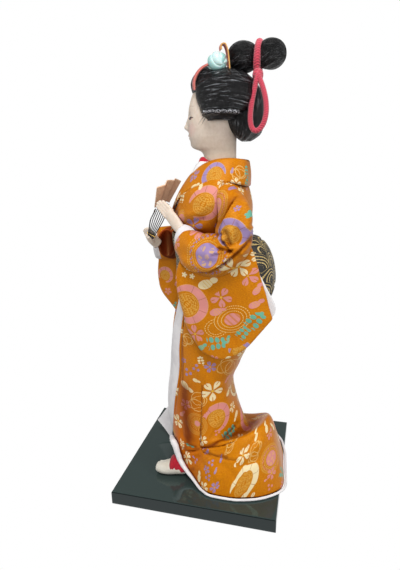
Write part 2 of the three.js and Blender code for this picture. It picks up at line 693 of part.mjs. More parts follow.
function skirtShape(grow = 0) {
  return pillar(
    28,
    15,
    (u, t) => {
      const degrees = u * 360;
      const [, hx, hy, hz, rx, ry, rz, vx, vy, vz] = at(TRAIN, degrees);
      const column = COLUMN.map((row) => {
        const p = girth(row, rad(degrees));
        return [p.x, p.y, p.z];
      });
      const slope = [lerp(rx, hx, 0.62), lerp(ry, hy, 0.62), lerp(rz, hz, 0.45)];
      const [x, y, z] = along([...column, [vx, vy, vz], [rx, ry, rz], slope, [hx, hy, hz]], t);
      const out = vec(x - 2, y - 4, 0).normalize();
      return vec(x + out.x * grow, y + out.y * grow, Math.max(z, FLOOR));
    },
    [0, 4, 145],
    [0, 8, FLOOR],
  );
}
// The open front of the skirt
function openFront(grow = 0) {
  const geometry = new THREE.BoxGeometry(1, 1, 1, 1, 1, 6);
  const { position } = geometry.attributes;
  for (let i = 0; i < position.count; i++) {
    const z = lerp(5, 150, position.getZ(i) + 0.5);
    const left = lerp(15.5, 19.1, smoothstep(z, 20, 100)) - grow;
    const right = lerp(-16, -2, smoothstep(z, 10, 135)) + grow;
    position.setXYZ(i, position.getX(i) > 0 ? left : right, lerp(-70, 2, position.getY(i) + 0.5), z);
  }
  return closed(geometry);
}
const openedSkirt = (grow = 0) => geometryOf(cut(solid(skirtShape(grow)), solid(openFront(grow))));
// Padded hem, stout at the front and slender along the train: [bearing in degrees, radius]
const HEM_ROLL = [
  [22, 1.6],
  [38, 2.2],
  [50, 2.1],
  [62, 1.8],
  [77, 1.15],
  [91, 0.85],
  [200, 0.9],
  [290, 1.1],
  [336, 1.5],
];
function hemShape(grow = 0) {
  const rows = [];
  for (let d = 22; d <= 336; d += 8) {
    const [x, y, z] = hemAt(d);
    const roll = at(HEM_ROLL, d)[1];
    const out = vec(x - 2, y - 12, 0).normalize().multiplyScalar(roll + GAP);
    rows.push([x + out.x, y + out.y, Math.max(z, FLOOR) + roll, roll + grow, roll + grow]);
  }
  return limb(rows, 5, 34);
}

// White lower corner of the far front edge, turned out
function flapShape(grow = 0) {
  const thickness = CLOTH + 2 * grow;
  return sheet(4, 8, thickness, (s, t) => {
    const edge = along([[-12, -30.4, 47], [-14.4, -37, 37], [-16.4, -42.8, 28.6], [-18, -47.8, 21.6]], t);
    const root = along([[-11, -28, 48], [-11.4, -29, 38], [-11, -31, 26], [-9.4, -33.4, 12]], t);
    return vec(...root).lerp(vec(...edge), s);
  });
}

// Red wrap round the ankles
const ANKLE = [
  [25, -6.6, 16.4, 5, 3.6],
  [27, -13.6, 16, 5, 4.4],
  [27.4, -18.4, 17.2, 5.5, 5.8],
  [27.6, -20.4, 17.6, 5.9, 6.6],
];
function redShape(grow = 0) {
  const low = 13.6;
  const skirt = pillar(
    12,
    3,
    (u, t) => {
      const z = lerp(24.4, low, t) + grow * (1 - 2 * t);
      return girth([z, -1, 15 + grow, 16 + grow, 13 + grow], u * TAU, 11);
    },
    [11, -1, 24.4 + grow],
    [11, -1, low - grow],
  );
  const ankle = limb(widened(ANKLE, grow), 8, 5);
  return geometryOf(join(skirt, ankle));
}

// Fan
const PIVOT = vec(-5, -40.9, 178.4);
const LEAF_LEFT = vec(16, -27, 209);
const LEAF_RIGHT = vec(-19, -21.6, 213.6);
const FAN_AXIS = LEAF_LEFT.clone().sub(PIVOT).normalize();
const FAN_END = LEAF_RIGHT.clone().sub(PIVOT).normalize();
const FAN_NORMAL = FAN_AXIS.clone().cross(FAN_END).normalize();
const FAN_RADIUS = 43;
const FAN_INNER = 26;
const FAN_SPREAD = FAN_AXIS.angleTo(FAN_END);
const STICKS = 7;
const fanPoint = (k, r, offset = 0) =>
  PIVOT.clone()
    .addScaledVector(FAN_AXIS.clone().applyAxisAngle(FAN_NORMAL, k * FAN_SPREAD), r)
    .addScaledVector(FAN_NORMAL, offset);
const leafShape = (grow = 0) =>
  sheet(6, 1, 0.7 + 2 * grow, (s, t) => {
    const fold = Math.abs(((s * 3) % 1) - 0.5) * 4 - 1;
    return fanPoint(s, lerp(FAN_RADIUS, FAN_INNER, t), fold * 1.1 * (1 - 0.4 * t));
  });
function stickShape(i, grow = 0) {
  const k = i / (STICKS - 1);
  const side = ((STICKS - 1) / 2 - i) * 0.8;
  const guard = i === 0 || i === STICKS - 1;
  const [r0, r1] = [-2.6, FAN_INNER - 0.6];
  const geometry = new THREE.BoxGeometry(1, 1, 1, 1, 3, 1);
  const { position } = geometry.attributes;
  for (let j = 0; j < position.count; j++) {
    const t = position.getY(j) + 0.5;
    const r = lerp(r0, r1, t);
    const wide = lerp(1, guard ? 2.1 : 1.1, t) / 2 + grow;
    const across = fanPoint(k, 1, 0).sub(PIVOT).cross(FAN_NORMAL);
    const p = fanPoint(k, r, side * (1 - smoothstep(t, 0.5, 1)) + position.getZ(j) * (0.5 + 2 * grow));
    p.addScaledVector(across, position.getX(j) * 2 * wide);
    position.setXYZ(j, p.x, p.y, p.z);
  }
  return closed(geometry);
}
const sticks = Array.from({ length: STICKS }, (_, i) => (grow) => stickShape(i, grow));
function rivetShape(grow = 0) {
  const turn = new THREE.Quaternion().setFromUnitVectors(vec(0, 1, 0), FAN_NORMAL);
  const pin = new THREE.CylinderGeometry(0.45 + grow, 0.45 + grow, 6.6, 8);
  return closed(pin.applyQuaternion(turn).translate(PIVOT.x, PIVOT.y, PIVOT.z));
}

const finish = (color, roughness, metalness = 0) =>
  new THREE.MeshStandardMaterial({ color, roughness, metalness });
const LACQUER = finish("#15191a", 0.12);
const SKIN = finish("#e9d8c4", 0.5);
const HAIR = finish("#0d0d0e", 0.3);
const CORD = finish("#d3244b", 0.8);
const BROCADE = finish("#c9730f", 0.5);
const SASH_CLOTH = finish("#1c1a14", 0.5);
const WHITE = finish("#ebe6e3", 0.75);
const RED = finish("#b3142a", 0.7);
const SOCK = finish("#e6dfcf", 0.7);
const PAPER = finish("#b38c6c", 0.7);
const BLACK = finish("#101011", 0.4);
const BRASS = finish("#b08d45", 0.35, 1);
const TURQUOISE = finish("#a9dcd8", 0.6);
const ORANGE_RED = finish("#cf4420", 0.5);
const SALMON = finish("#cf4a43", 0.6);
const GLITTER_CORD = finish("#a7a7ad", 0.4, 0.6);

const doll = new THREE.Group();
// Adds a piece, with room cut in it for the pieces that it touches.
function add(name, material, builder, ...neighbours) {
  const whole = solid(builder());
  const tolerance = whole.volume() < SMALL ? SMOOTH_SMALL : SMOOTH;
  const room = neighbours.map((one) => solid(one(GAP)).simplify(tolerance / 2));
  const body = cut(whole.simplify(tolerance), ...room);
  const mesh = new THREE.Mesh(geometryOf(body.simplify(SLIVER)), material);
  mesh.name = name;
  doll.add(mesh);
}

add("plinth", LACQUER, plinthShape);
add("head", SKIN, headShape);
add("hair_left", HAIR, lobeLeft, headShape);
add("hair_right", HAIR, lobeRight, headShape, lobeLeft);
add("hair_back", HAIR, lobeBack, headShape, lobeLeft, lobeRight);
add("hair_front", HAIR, lobeFront, headShape, lobeLeft, lobeRight, lobeBack);
add("topknot_front", HAIR, knotFront, lobeLeft, lobeRight, lobeBack, lobeFront, cordShape);
add("topknot_rear", HAIR, knotRear, cordShape, knotFront);
add("hair_cord", CORD, cordShape, lobeLeft, lobeBack);
add("hair_flower", TURQUOISE, flowerShape, lobeLeft, lobeFront, knotFront);
add("hair_curl", ORANGE_RED, curlShape, lobeLeft, lobeFront, knotFront, flowerShape);
add("hair_ribbon", SALMON, ribbonShape, lobeLeft, lobeFront, flowerShape);
add("hair_glitter_left", GLITTER_CORD, glitterLeft, lobeLeft, lobeBack);
add("hair_glitter_right", GLITTER_CORD, glitterRight, lobeRight, lobeBack);
add("inner_collar", RED, innerCollar, headShape);
add("under_collar", WHITE, underCollar, headShape, (grow) => innerCollar(grow * 1.4));
add("kimono_collar", BROCADE, kimonoCollar, headShape, (grow) => underCollar(grow * 1.6), innerCollar);
add("kimono_bodice", BROCADE, bodiceShape, headShape, (grow) => collarStack(grow * 1.6));
add("obi_band", SASH_CLOTH, sashShape, bodiceShape, collarStack, (grow) => kimonoCollar(grow * 2));
add("obi_knot", SASH_CLOTH, drumShape, sashShape, bodiceShape);
add("sleeve_left", BROCADE, leftSleeve, bodiceShape, sashShape, kimonoCollar, drumShape);
add("sleeve_right", BROCADE, rightSleeve, bodiceShape, sashShape, kimonoCollar, drumShape);
add("cuff_left", WHITE, leftCuff, leftSleeve, leftHand, bodiceShape, sashShape);
add("cuff_right", WHITE, rightCuff, rightSleeve, rightHand, bodiceShape, sashShape);
add("sleeve_lining_left", WHITE, leftLining, leftSleeve, sashShape, drumShape);
add("sleeve_lining_right", WHITE, rightLining, rightSleeve, sashShape, drumShape);
add("hand_left", SKIN, leftHand, leftSleeve, bodiceShape, sashShape);
add("hand_right", SKIN, rightHand, rightSleeve, ...sticks, rivetShape);
add("foot_left", SOCK, leftFoot, hemShape);
add("foot_right", SOCK, rightFoot);
add("red_underskirt", RED, redShape, leftFoot, rightFoot, coreShape, hemShape);
add("under_robe", WHITE, coreShape);
add("kimono_skirt", BROCADE, openedSkirt, coreShape, sashShape, hemShape, redShape, leftFoot, rightFoot);
add("hem_roll", WHITE, hemShape);
add("front_flap", WHITE, flapShape, coreShape, openedSkirt, hemShape, rightFoot, redShape);
add("fan_leaf", PAPER, leafShape);
sticks.forEach((stick, i) => add(`fan_rib_${i + 1}`, BLACK, stick, rivetShape));
add("fan_rivet", BRASS, rivetShape);

export default doll;
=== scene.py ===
"""Looks for a geisha doll in a brocade kimono on a square black plinth.

Lengths are in millimetres until a mesh is made.
+Z is up, the doll faces -Y, and its left hand is on the +X side.
"""

import math

import bpy
import numpy as np
from mathutils import Matrix


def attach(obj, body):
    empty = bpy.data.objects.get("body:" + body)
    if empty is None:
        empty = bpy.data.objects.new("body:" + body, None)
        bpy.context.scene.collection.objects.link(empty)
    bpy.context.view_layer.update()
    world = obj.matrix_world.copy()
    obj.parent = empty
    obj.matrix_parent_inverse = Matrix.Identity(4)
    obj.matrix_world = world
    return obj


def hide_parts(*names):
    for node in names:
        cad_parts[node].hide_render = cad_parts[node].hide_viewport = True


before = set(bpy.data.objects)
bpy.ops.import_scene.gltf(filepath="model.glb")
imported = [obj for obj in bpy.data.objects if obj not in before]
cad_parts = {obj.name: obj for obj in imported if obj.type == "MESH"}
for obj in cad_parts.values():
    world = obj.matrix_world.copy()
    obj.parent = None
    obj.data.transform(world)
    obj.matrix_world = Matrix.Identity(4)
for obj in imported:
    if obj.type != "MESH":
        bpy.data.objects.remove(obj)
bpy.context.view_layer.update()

MM = 0.001
TAU = 2 * math.pi
# Cloth rests a little above the plinth's top, which is at 10
FLOOR = 10.3

# Camera, floor and light
AZIMUTH, ELEVATION, ROLL = math.radians(104.622), math.radians(14.916), math.radians(-1.188)
TARGET = np.array([0.0, -4.594, 144.543])
DISTANCE = 303.359
flat = math.cos(ELEVATION)
back = np.array([math.sin(AZIMUTH) * flat, -math.cos(AZIMUTH) * flat, math.sin(ELEVATION)])
right = np.cross(-back, [0, 0, 1])
right /= np.linalg.norm(right)
up = np.cross(right, -back)
right, up = right * math.cos(ROLL) + up * math.sin(ROLL), up * math.cos(ROLL) - right * math.sin(ROLL)
camera = bpy.data.objects.new("camera", bpy.data.cameras.new("camera"))
bpy.context.collection.objects.link(camera)
turn = Matrix([[right[i], up[i], back[i]] for i in range(3)])
camera.matrix_world = Matrix.Translation(list((TARGET + back * DISTANCE) * MM)) @ turn.to_4x4()
camera.data.sensor_width = 36
camera.data.lens = 27.42
camera.data.clip_start = 0.01
camera.data.clip_end = 20
bpy.context.scene.camera = camera
bpy.context.scene.view_settings.view_transform = "Standard"

world = bpy.data.worlds.new("studio")
world.use_nodes = True
world.node_tree.nodes["Background"].inputs["Color"].default_value = (1, 1, 1, 1)
light_path = world.node_tree.nodes.new("ShaderNodeLightPath")
backdrop = world.node_tree.nodes.new("ShaderNodeMapRange")
backdrop.inputs["To Min"].default_value = 0.37
backdrop.inputs["To Max"].default_value = 1.0
world.node_tree.links.new(light_path.outputs["Is Camera Ray"], backdrop.inputs["Value"])
world.node_tree.links.new(backdrop.outputs["Result"], world.node_tree.nodes["Background"].inputs["Strength"])
bpy.context.scene.world = world


def softbox(name, place, aim, size, power):
    """An area light at a place in metres, turned to its aim and unseen by the camera."""
    light = bpy.data.objects.new(name, bpy.data.lights.new(name, "AREA"))
    light.data.shape = "RECTANGLE"
    light.data.size, light.data.size_y = size
    light.data.energy = power
    direction = np.array(aim) - np.array(place)
    z = -direction / np.linalg.norm(direction)
    x = np.cross([0, 0, 1], z)
    x /= np.linalg.norm(x)
    y = np.cross(z, x)
    light.matrix_world = Matrix.Translation(place) @ Matrix([[x[i], y[i], z[i]] for i in range(3)]).to_4x4()
    light.visible_camera = False
    bpy.context.collection.objects.link(light)


softbox("key", (0.5, 0.1, 0.95), (0, 0, 0.15), (0.3, 0.3), 6.6)
softbox("side", (0.85, 0.28, 0.42), (0, 0, 0.18), (0.12, 0.4), 2.6)
softbox("front", (0.35, -0.85, 0.6), (0, 0, 0.2), (0.35, 0.35), 1.6)
softbox("rim", (0.1, 0.8, 0.75), (0, 0, 0.2), (0.3, 0.2), 2)


# Numbers
def lerp(a, b, t):
    return a + (b - a) * t


def smooth(x, a, b):
    """0 at a, 1 at b, smooth between."""
    k = np.clip((x - a) / (b - a), 0, 1)
    return k * k * (3 - 2 * k)


def bump(x, centre, width):
    """1 at the centre, fading over the width."""
    return np.exp(-(((x - centre) / width) ** 2))


def along(rows, t):
    """Catmull-Rom through rows (row first), at t from 0 to 1."""
    rows = np.asarray(rows, float)
    t = np.atleast_1d(t)
    span = np.clip(t, 0, 1) * (len(rows) - 1)
    i = np.minimum(span.astype(int), len(rows) - 2)
    f = (span - i).reshape(t.shape + (1,) * (rows.ndim - 1))
    a, b, c, d = (rows[np.clip(i + k, 0, len(rows) - 1)] for k in (-1, 0, 1, 2))
    return 0.5 * (2 * b + (c - a) * f + (2 * a - 5 * b + 4 * c - d) * f**2 + (3 * b - a - 3 * c + d) * f**3)


def at(rows, key):
    """The rows' values where the first column has the value key."""
    rows = np.asarray(rows, float)
    order = slice(None) if rows[-1, 0] > rows[0, 0] else slice(None, None, -1)
    places = np.arange(len(rows))
    return along(rows, np.interp(key, rows[order, 0], places[order]) / (len(rows) - 1))


def ripple(p, size, seed, count=14):
    """Smooth seeded noise of about -1 to 1, with features of that size."""
    r = np.random.default_rng(seed)
    d = r.normal(size=(count, p.shape[-1]))
    d /= np.linalg.norm(d, axis=1)[:, None]
    k = TAU / size * r.uniform(0.6, 1.5, count)
    return np.sin(p @ (d * k[:, None]).T + r.uniform(0, TAU, count)).mean(-1) * 2


def unit(v):
    return v / np.maximum(np.linalg.norm(v, axis=-1, keepdims=True), 1e-12)


def grid_normals(P, wrap):
    """Normals of a grid of points P[row, column]."""
    if wrap:
        du = np.roll(P[:, :-1], -1, 1) - np.roll(P[:, :-1], 1, 1)
        du = np.concatenate([du, du[:, :1]], 1)
    else:
        du = np.gradient(P, axis=1)
    return unit(np.cross(np.gradient(P, axis=0), du))


def outward(P, wrap=True, centre=None):
    """Normals of a grid that point away from its centre."""
    n = grid_normals(P, wrap)
    centre = P.mean((0, 1)) if centre is None else np.array(centre)
    return n * (1 if (n * (P - centre)).sum() > 0 else -1)


def run(P, axis=0):
    """How far each point lies along its line, from the line's first point."""
    lengths = np.cumsum(np.linalg.norm(np.diff(P, axis=axis), axis=-1), axis)
    return np.concatenate([0 * np.take(lengths, [0], axis), lengths], axis)


def line_distance(p, points):
    """Distance from p to a line of points, how far along the nearest point is (0 to 1), and the side."""
    points = np.asarray(points, float)
    best = np.full(p.shape[:-1], 1e9)
    where = np.zeros(p.shape[:-1])
    side = np.ones(p.shape[:-1])
    starts = run(points)
    for a, b, start in zip(points, points[1:], starts):
        length = np.linalg.norm(b - a)
        k = np.clip(((p - a) @ (b - a)) / length**2, 0, 1)
        d = np.linalg.norm(p - (a + k[..., None] * (b - a)), axis=-1)
        nearer = d < best
        best = np.where(nearer, d, best)
        where = np.where(nearer, (start + k * length) / starts[-1], where)
        turn = (b - a)[0] * (p - a)[..., 1] - (b - a)[1] * (p - a)[..., 0]
        side = np.where(nearer, np.sign(turn), side)
    return best, where, side


def fold(p, points, width, height, ends=0.2):
    """A ridge (or a groove, where height is negative) along a line, fading at its ends."""
    d, k, _ = line_distance(p, points)
    return height * np.exp(-((d / width) ** 2)) * smooth(k, 0, ends) * smooth(1 - k, 0, ends)


def tuck(p, points, width, height, ends=0.2):
    """A step along a line: the cloth left of it stands high over a narrow groove on its right."""
    d, k, side = line_distance(p, points)
    high = np.exp(-d / width) * smooth(d, 0, 0.7)
    low = -0.9 * np.exp(-((d / (0.45 * width + 0.5)) ** 2))
    shape = np.where(side > 0, high + low * (d < 0.2), low)
    return height * shape * smooth(k, 0, ends) * smooth(1 - k, 0, ends)


def pushed(p, rows, shape=fold, **more):
    """The sum of the folds or tucks in a table of (points, width, height)."""
    return sum(shape(p, *row, **more) for row in rows)


# Meshes
def surface(P, UV=None, wrap=False):
    """Vertices, faces and corner UVs of a grid P[row, column]. A row at one point becomes a fan."""
    rows, cols = P.shape[:2]
    if UV is None:
        UV = np.zeros((rows, cols, 2))
    step = cols - 1 if wrap else cols
    index = np.arange(rows * step).reshape(rows, step)
    index = np.concatenate([index, index[:, :1]], 1) if wrap else index
    V = P[:, :step].reshape(-1, 3)
    corners = np.stack([index[:-1, :-1], index[1:, :-1], index[1:, 1:], index[:-1, 1:]], -1)
    places = np.stack([UV[:-1, :-1], UV[1:, :-1], UV[1:, 1:], UV[:-1, 1:]], -2)
    faces, uvs = [], []
    top = np.ptp(P[0], axis=0).max() < 1e-6
    bottom = np.ptp(P[-1], axis=0).max() < 1e-6
    quads = slice(1 if top else 0, -1 if bottom else None)
    faces.append(corners[quads].reshape(-1, 4))
    uvs.append(places[quads].reshape(-1, 4, 2))
    if top:
        faces.append(np.stack([np.full(cols - 1, index[0, 0]), index[1, :-1], index[1, 1:]], -1))
        uvs.append(np.stack([places[0, :, 0], places[0, :, 1], places[0, :, 2]], 1))
    if bottom:
        faces.append(np.stack([index[-2, :-1], np.full(cols - 1, index[-1, 0]), index[-2, 1:]], -1))
        uvs.append(np.stack([places[-1, :, 0], places[-1, :, 1], places[-1, :, 3]], 1))
    return V, faces, uvs


def closed(P, UV=None):
    """A closed form from a grid whose first and last rows are points."""
    return surface(P, UV, True)


def two_sided(front, rear, UV=None):
    """A closed form between two grids that face each other."""
    rows, cols = front.shape[:2]
    UV = np.zeros((rows, cols, 2)) if UV is None else UV
    ring_p = np.concatenate([front, rear[:, ::-1], front[:, :1]], 1)
    ring_uv = np.concatenate([UV, UV[:, ::-1], UV[:, :1]], 1)
    V, faces, uvs = surface(ring_p, ring_uv, True)
    for row, flip in ((0, False), (rows - 1, True)):
        a = (2 * row) * cols + np.arange(cols)
        b = (2 * row + 2) * cols - 1 - np.arange(cols)
        quad = np.stack([a[:-1], a[1:], b[1:], b[:-1]], -1)
        uv = np.stack([UV[row, :-1], UV[row, 1:], UV[row, 1:], UV[row, :-1]], 1)
        faces.append(quad[:, ::-1] if flip else quad)
        uvs.append(uv[:, ::-1] if flip else uv)
    return V, faces, uvs


def cloth(P, thickness, UV=None):
    """A sheet with a thickness round a grid of middle points."""
    half = grid_normals(P, False) * (thickness / 2)
    return two_sided(P + half, P - half, UV)


def rings(place, around, down, top, bottom):
    """A closed grid: place(angle, t) between two end points."""
    angle = np.linspace(0, TAU, around + 1)[None, :]
    t = np.linspace(0, 1, down + 1)[:, None]
    P = place(angle + 0 * t, t + 0 * angle)
    ends = [np.broadcast_to(np.asarray(e, float), (1, around + 1, 3)) for e in (top, bottom)]
    return np.concatenate([ends[0], P, ends[1]], 0)


def girth(row, angle, x=0.0):
    """Ring points from [z, centre y, half width, front depth, back depth].

    Angle 0 is the front, and TAU / 4 the left.
    """
    s, c = np.sin(angle), np.cos(angle)
    depth = np.where(c > 0, row[..., 3], row[..., 4])
    return np.stack([x + row[..., 2] * s, row[..., 1] - depth * c, row[..., 0] + 0 * s], -1)


def column(rows, around, down, top, bottom, reshape=None):
    """A closed grid of ring points through the rows."""

    def place(angle, t):
        row = np.broadcast_to(along(rows, t[:, 0])[:, None, :], angle.shape + (5,)).copy()
        if reshape:
            reshape(row, angle)
        return girth(row, angle)

    return rings(place, around, down, top, bottom)


# The part of a limb's length that each rounded end takes
LIMB_END = 0.06


def limb_grid(stations, around, down, shape=None):
    """A limb along stations [x, y, z, half width sideways, half height] with rounded ends."""
    v = np.linspace(0, 1, down + 1)
    straight = 1 - 2 * LIMB_END
    t = np.clip((v - LIMB_END) / straight, 0, 1)
    over = np.maximum(0, np.abs(v - 0.5) * 2 - straight) / (1 - straight)
    end = np.sqrt(np.maximum(0, 1 - over**2))
    end[[0, -1]] = 0
    row = along(stations, t)
    middle = lambda k: along(stations, np.clip(k, 0, 1))[:, :3]
    forward = unit(middle(t + 0.02) - middle(t - 0.02))
    side = unit(np.cross([0, 0.3, 1], forward))
    lift = np.cross(forward, side)
    angle = np.linspace(0, TAU, around + 1)
    k = end[:, None] * (1 if shape is None else shape(angle[None, :], t[:, None]))
    small = np.minimum(row[:, 3], row[:, 4]) * 0.5 * over * np.where(v < 0.5, -1, 1)
    return (
        row[:, None, :3]
        + side[:, None] * (np.cos(angle)[None, :] * row[:, None, 3] * k)[..., None]
        + lift[:, None] * (np.sin(angle)[None, :] * row[:, None, 4] * k)[..., None]
        + forward[:, None] * small[:, None, None]
    )


def hoop_grid(place, radius, axis, steps, sides, shape=None):
    """A closed ring of cord: its grid and its UVs (length along it, distance round it)."""
    t = np.linspace(0, 1, steps + 1)
    middle = place(t % 1)
    forward = unit(place((t + 0.003) % 1) - place((t - 0.003) % 1))
    side = unit(np.cross(axis, forward))
    lift = np.cross(forward, side)
    angle = np.linspace(0, TAU, sides + 1)
    length = run(middle)
    uv = np.stack(np.broadcast_arrays(length[:, None], angle[None, :] * radius), -1)
    r = radius + (0 if shape is None else shape(length[:, None], angle[None, :]))
    P = (
        middle[:, None]
        + side[:, None] * (np.cos(angle)[None, :] * r)[..., None]
        + lift[:, None] * (np.sin(angle)[None, :] * r)[..., None]
    )
    return P, uv


def torus(P, UV):
    """A grid that closes both ways."""
    V, faces, uvs = surface(P[:-1], UV[:-1], True)
    rows, step = P.shape[0] - 1, P.shape[1] - 1
    a = (rows - 1) * step + np.arange(step)
    b = (rows - 1) * step + (np.arange(step) + 1) % step
    c, d = (np.arange(step) + 1) % step, np.arange(step)
    faces.append(np.stack([a, d, c, b], -1))
    uvs.append(np.stack([UV[-2, :-1], UV[-1, :-1], UV[-1, 1:], UV[-2, 1:]], 1))
    return V, faces, uvs


def turned_out(V, faces, uvs):
    """The same mesh with its faces pointing out."""
    volume = 0
    for f in faces:
        for k in range(2, f.shape[1]):
            volume += np.einsum("ij,ij->i", V[f[:, 0]], np.cross(V[f[:, k - 1]], V[f[:, k]])).sum()
    if volume < 0:
        faces = [f[:, ::-1] for f in faces]
        uvs = [u[:, ::-1] for u in uvs]
    return V, faces, uvs


def make_mesh(name, parts):
    """One mesh from several forms, in metres, with the UV map cloth in millimetres."""
    verts, corner_list, totals, uv_list, offset = [], [], [], [], 0
    for part in parts:
        V, faces, uvs = turned_out(*part)
        verts.append(V)
        for f, u in zip(faces, uvs):
            if len(f):
                corner_list.append((f + offset).reshape(-1))
                totals.append(np.full(len(f), f.shape[1]))
                uv_list.append(u.reshape(-1, 2))
        offset += len(V)
    V = np.concatenate(verts) * MM
    corners = np.concatenate(corner_list)
    totals = np.concatenate(totals)
    mesh = bpy.data.meshes.new(name)
    mesh.vertices.add(len(V))
    mesh.vertices.foreach_set("co", V.astype(np.float32).reshape(-1))
    mesh.loops.add(len(corners))
    mesh.loops.foreach_set("vertex_index", corners.astype(np.int32))
    mesh.polygons.add(len(totals))
    mesh.polygons.foreach_set("loop_start", np.concatenate([[0], np.cumsum(totals)[:-1]]).astype(np.int32))
    mesh.polygons.foreach_set("loop_total", totals.astype(np.int32))
    layer = mesh.uv_layers.new(name="cloth")
    layer.data.foreach_set("uv", np.concatenate(uv_list).astype(np.float32).reshape(-1))
    mesh.polygons.foreach_set("use_smooth", np.ones(len(totals), bool))
    mesh.update(calc_edges=True)
    mesh.validate()
    return mesh


def piece(name, parts, material):
    """A visible piece that stands for the CAD node of its name."""
    mesh = make_mesh(name, parts)
    mesh.materials.append(material)
    o = bpy.data.objects.new(name, mesh)
    bpy.context.collection.objects.link(o)
    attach(o, "root")
    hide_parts(name)
    return o


def read(items, key, size=1, kind=np.float32):
    """A mesh's values as an array, a row for each item."""
    values = np.empty(len(items) * size, kind)
    items.foreach_get(key, values)
    return values.reshape(-1, size) if size > 1 else values


def fused(parts, voxel, relax, strength):
    """One skin round several closed forms, from a voxel remesh, lightly relaxed. Points in millimetres."""
    o = bpy.data.objects.new("fusing", make_mesh("fusing", parts))
    bpy.context.collection.objects.link(o)
    remesh = o.modifiers.new("remesh", "REMESH")
    remesh.mode = "VOXEL"
    remesh.voxel_size = voxel * MM
    ease = o.modifiers.new("ease", "SMOOTH")
    ease.factor = strength
    ease.iterations = relax
    done = bpy.data.meshes.new_from_object(o.evaluated_get(bpy.context.evaluated_depsgraph_get()))
    bpy.data.objects.remove(o)
    V, N = read(done.vertices, "co", 3), read(done.vertices, "normal", 3)
    sizes = read(done.polygons, "loop_total", kind=np.int32)
    corners = read(done.loops, "vertex_index", kind=np.int32)
    starts = np.concatenate([[0], np.cumsum(sizes)[:-1]])
    faces = [corners[starts[sizes == k][:, None] + np.arange(k)] for k in np.unique(sizes)]
    bpy.data.meshes.remove(done)
    return V / MM, N, faces


def wrapped(V, faces, where):
    """A mesh part whose UVs are a function of the vertex places."""
    uv = where(V)
    return V, faces, [uv[f] for f in faces]


# Shader arithmetic
class Wire:
    """A socket that takes part in sums: a + b, a * b, a.sin() and the rest of OPERATIONS add Math nodes."""

    def __init__(self, tree, socket):
        self.tree, self.socket = tree, socket

    def op(self, name, *others):
        node = self.tree.nodes.new("ShaderNodeMath")
        node.operation = name
        for socket, value in zip(node.inputs, (self, *others)):
            if isinstance(value, Wire):
                self.tree.links.new(value.socket, socket)
            else:
                socket.default_value = value
        return Wire(self.tree, node.outputs[0])

    def __rsub__(self, o):
        return (self * -1) + o

    def __rtruediv__(self, o):
        return self.op("POWER", -1.0) * o

    def near(self, value, width=0.5):
        return self.op("COMPARE", value, width)

    def ramp(self, a, b):
        """0 at a, 1 at b, smooth between."""
        node = self.tree.nodes.new("ShaderNodeMapRange")
        node.interpolation_type = "SMOOTHSTEP"
        self.tree.links.new(self.socket, node.inputs["Value"])
        node.inputs["From Min"].default_value = a
        node.inputs["From Max"].default_value = b
        return Wire(self.tree, node.outputs["Result"])


OPERATIONS = {
    "__add__": "ADD",
    "__radd__": "ADD",
    "__sub__": "SUBTRACT",
    "__mul__": "MULTIPLY",
    "__rmul__": "MULTIPLY",
    "__truediv__": "DIVIDE",
    "__lt__": "LESS_THAN",
    "__gt__": "GREATER_THAN",
    "sin": "SINE",
    "cos": "COSINE",
    "angle": "ARCTAN2",
    "abs": "ABSOLUTE",
    "frac": "FRACT",
    "floor": "FLOOR",
    "power": "POWER",
    "sqrt": "SQRT",
    "low": "MINIMUM",
    "high": "MAXIMUM",
}
for label, operation in OPERATIONS.items():
    setattr(Wire, label, lambda wire, *others, operation=operation: wire.op(operation, *others))


def hypot(x, y):
    return (x * x + y * y).sqrt()


def colour(text):
    """A linear colour from sRGB hex."""
    v = [int(text[i : i + 2], 16) / 255 for i in (1, 3, 5)]
    return tuple(c / 12.92 if c <= 0.04045 else ((c + 0.055) / 1.055) ** 2.4 for c in v) + (1.0,)


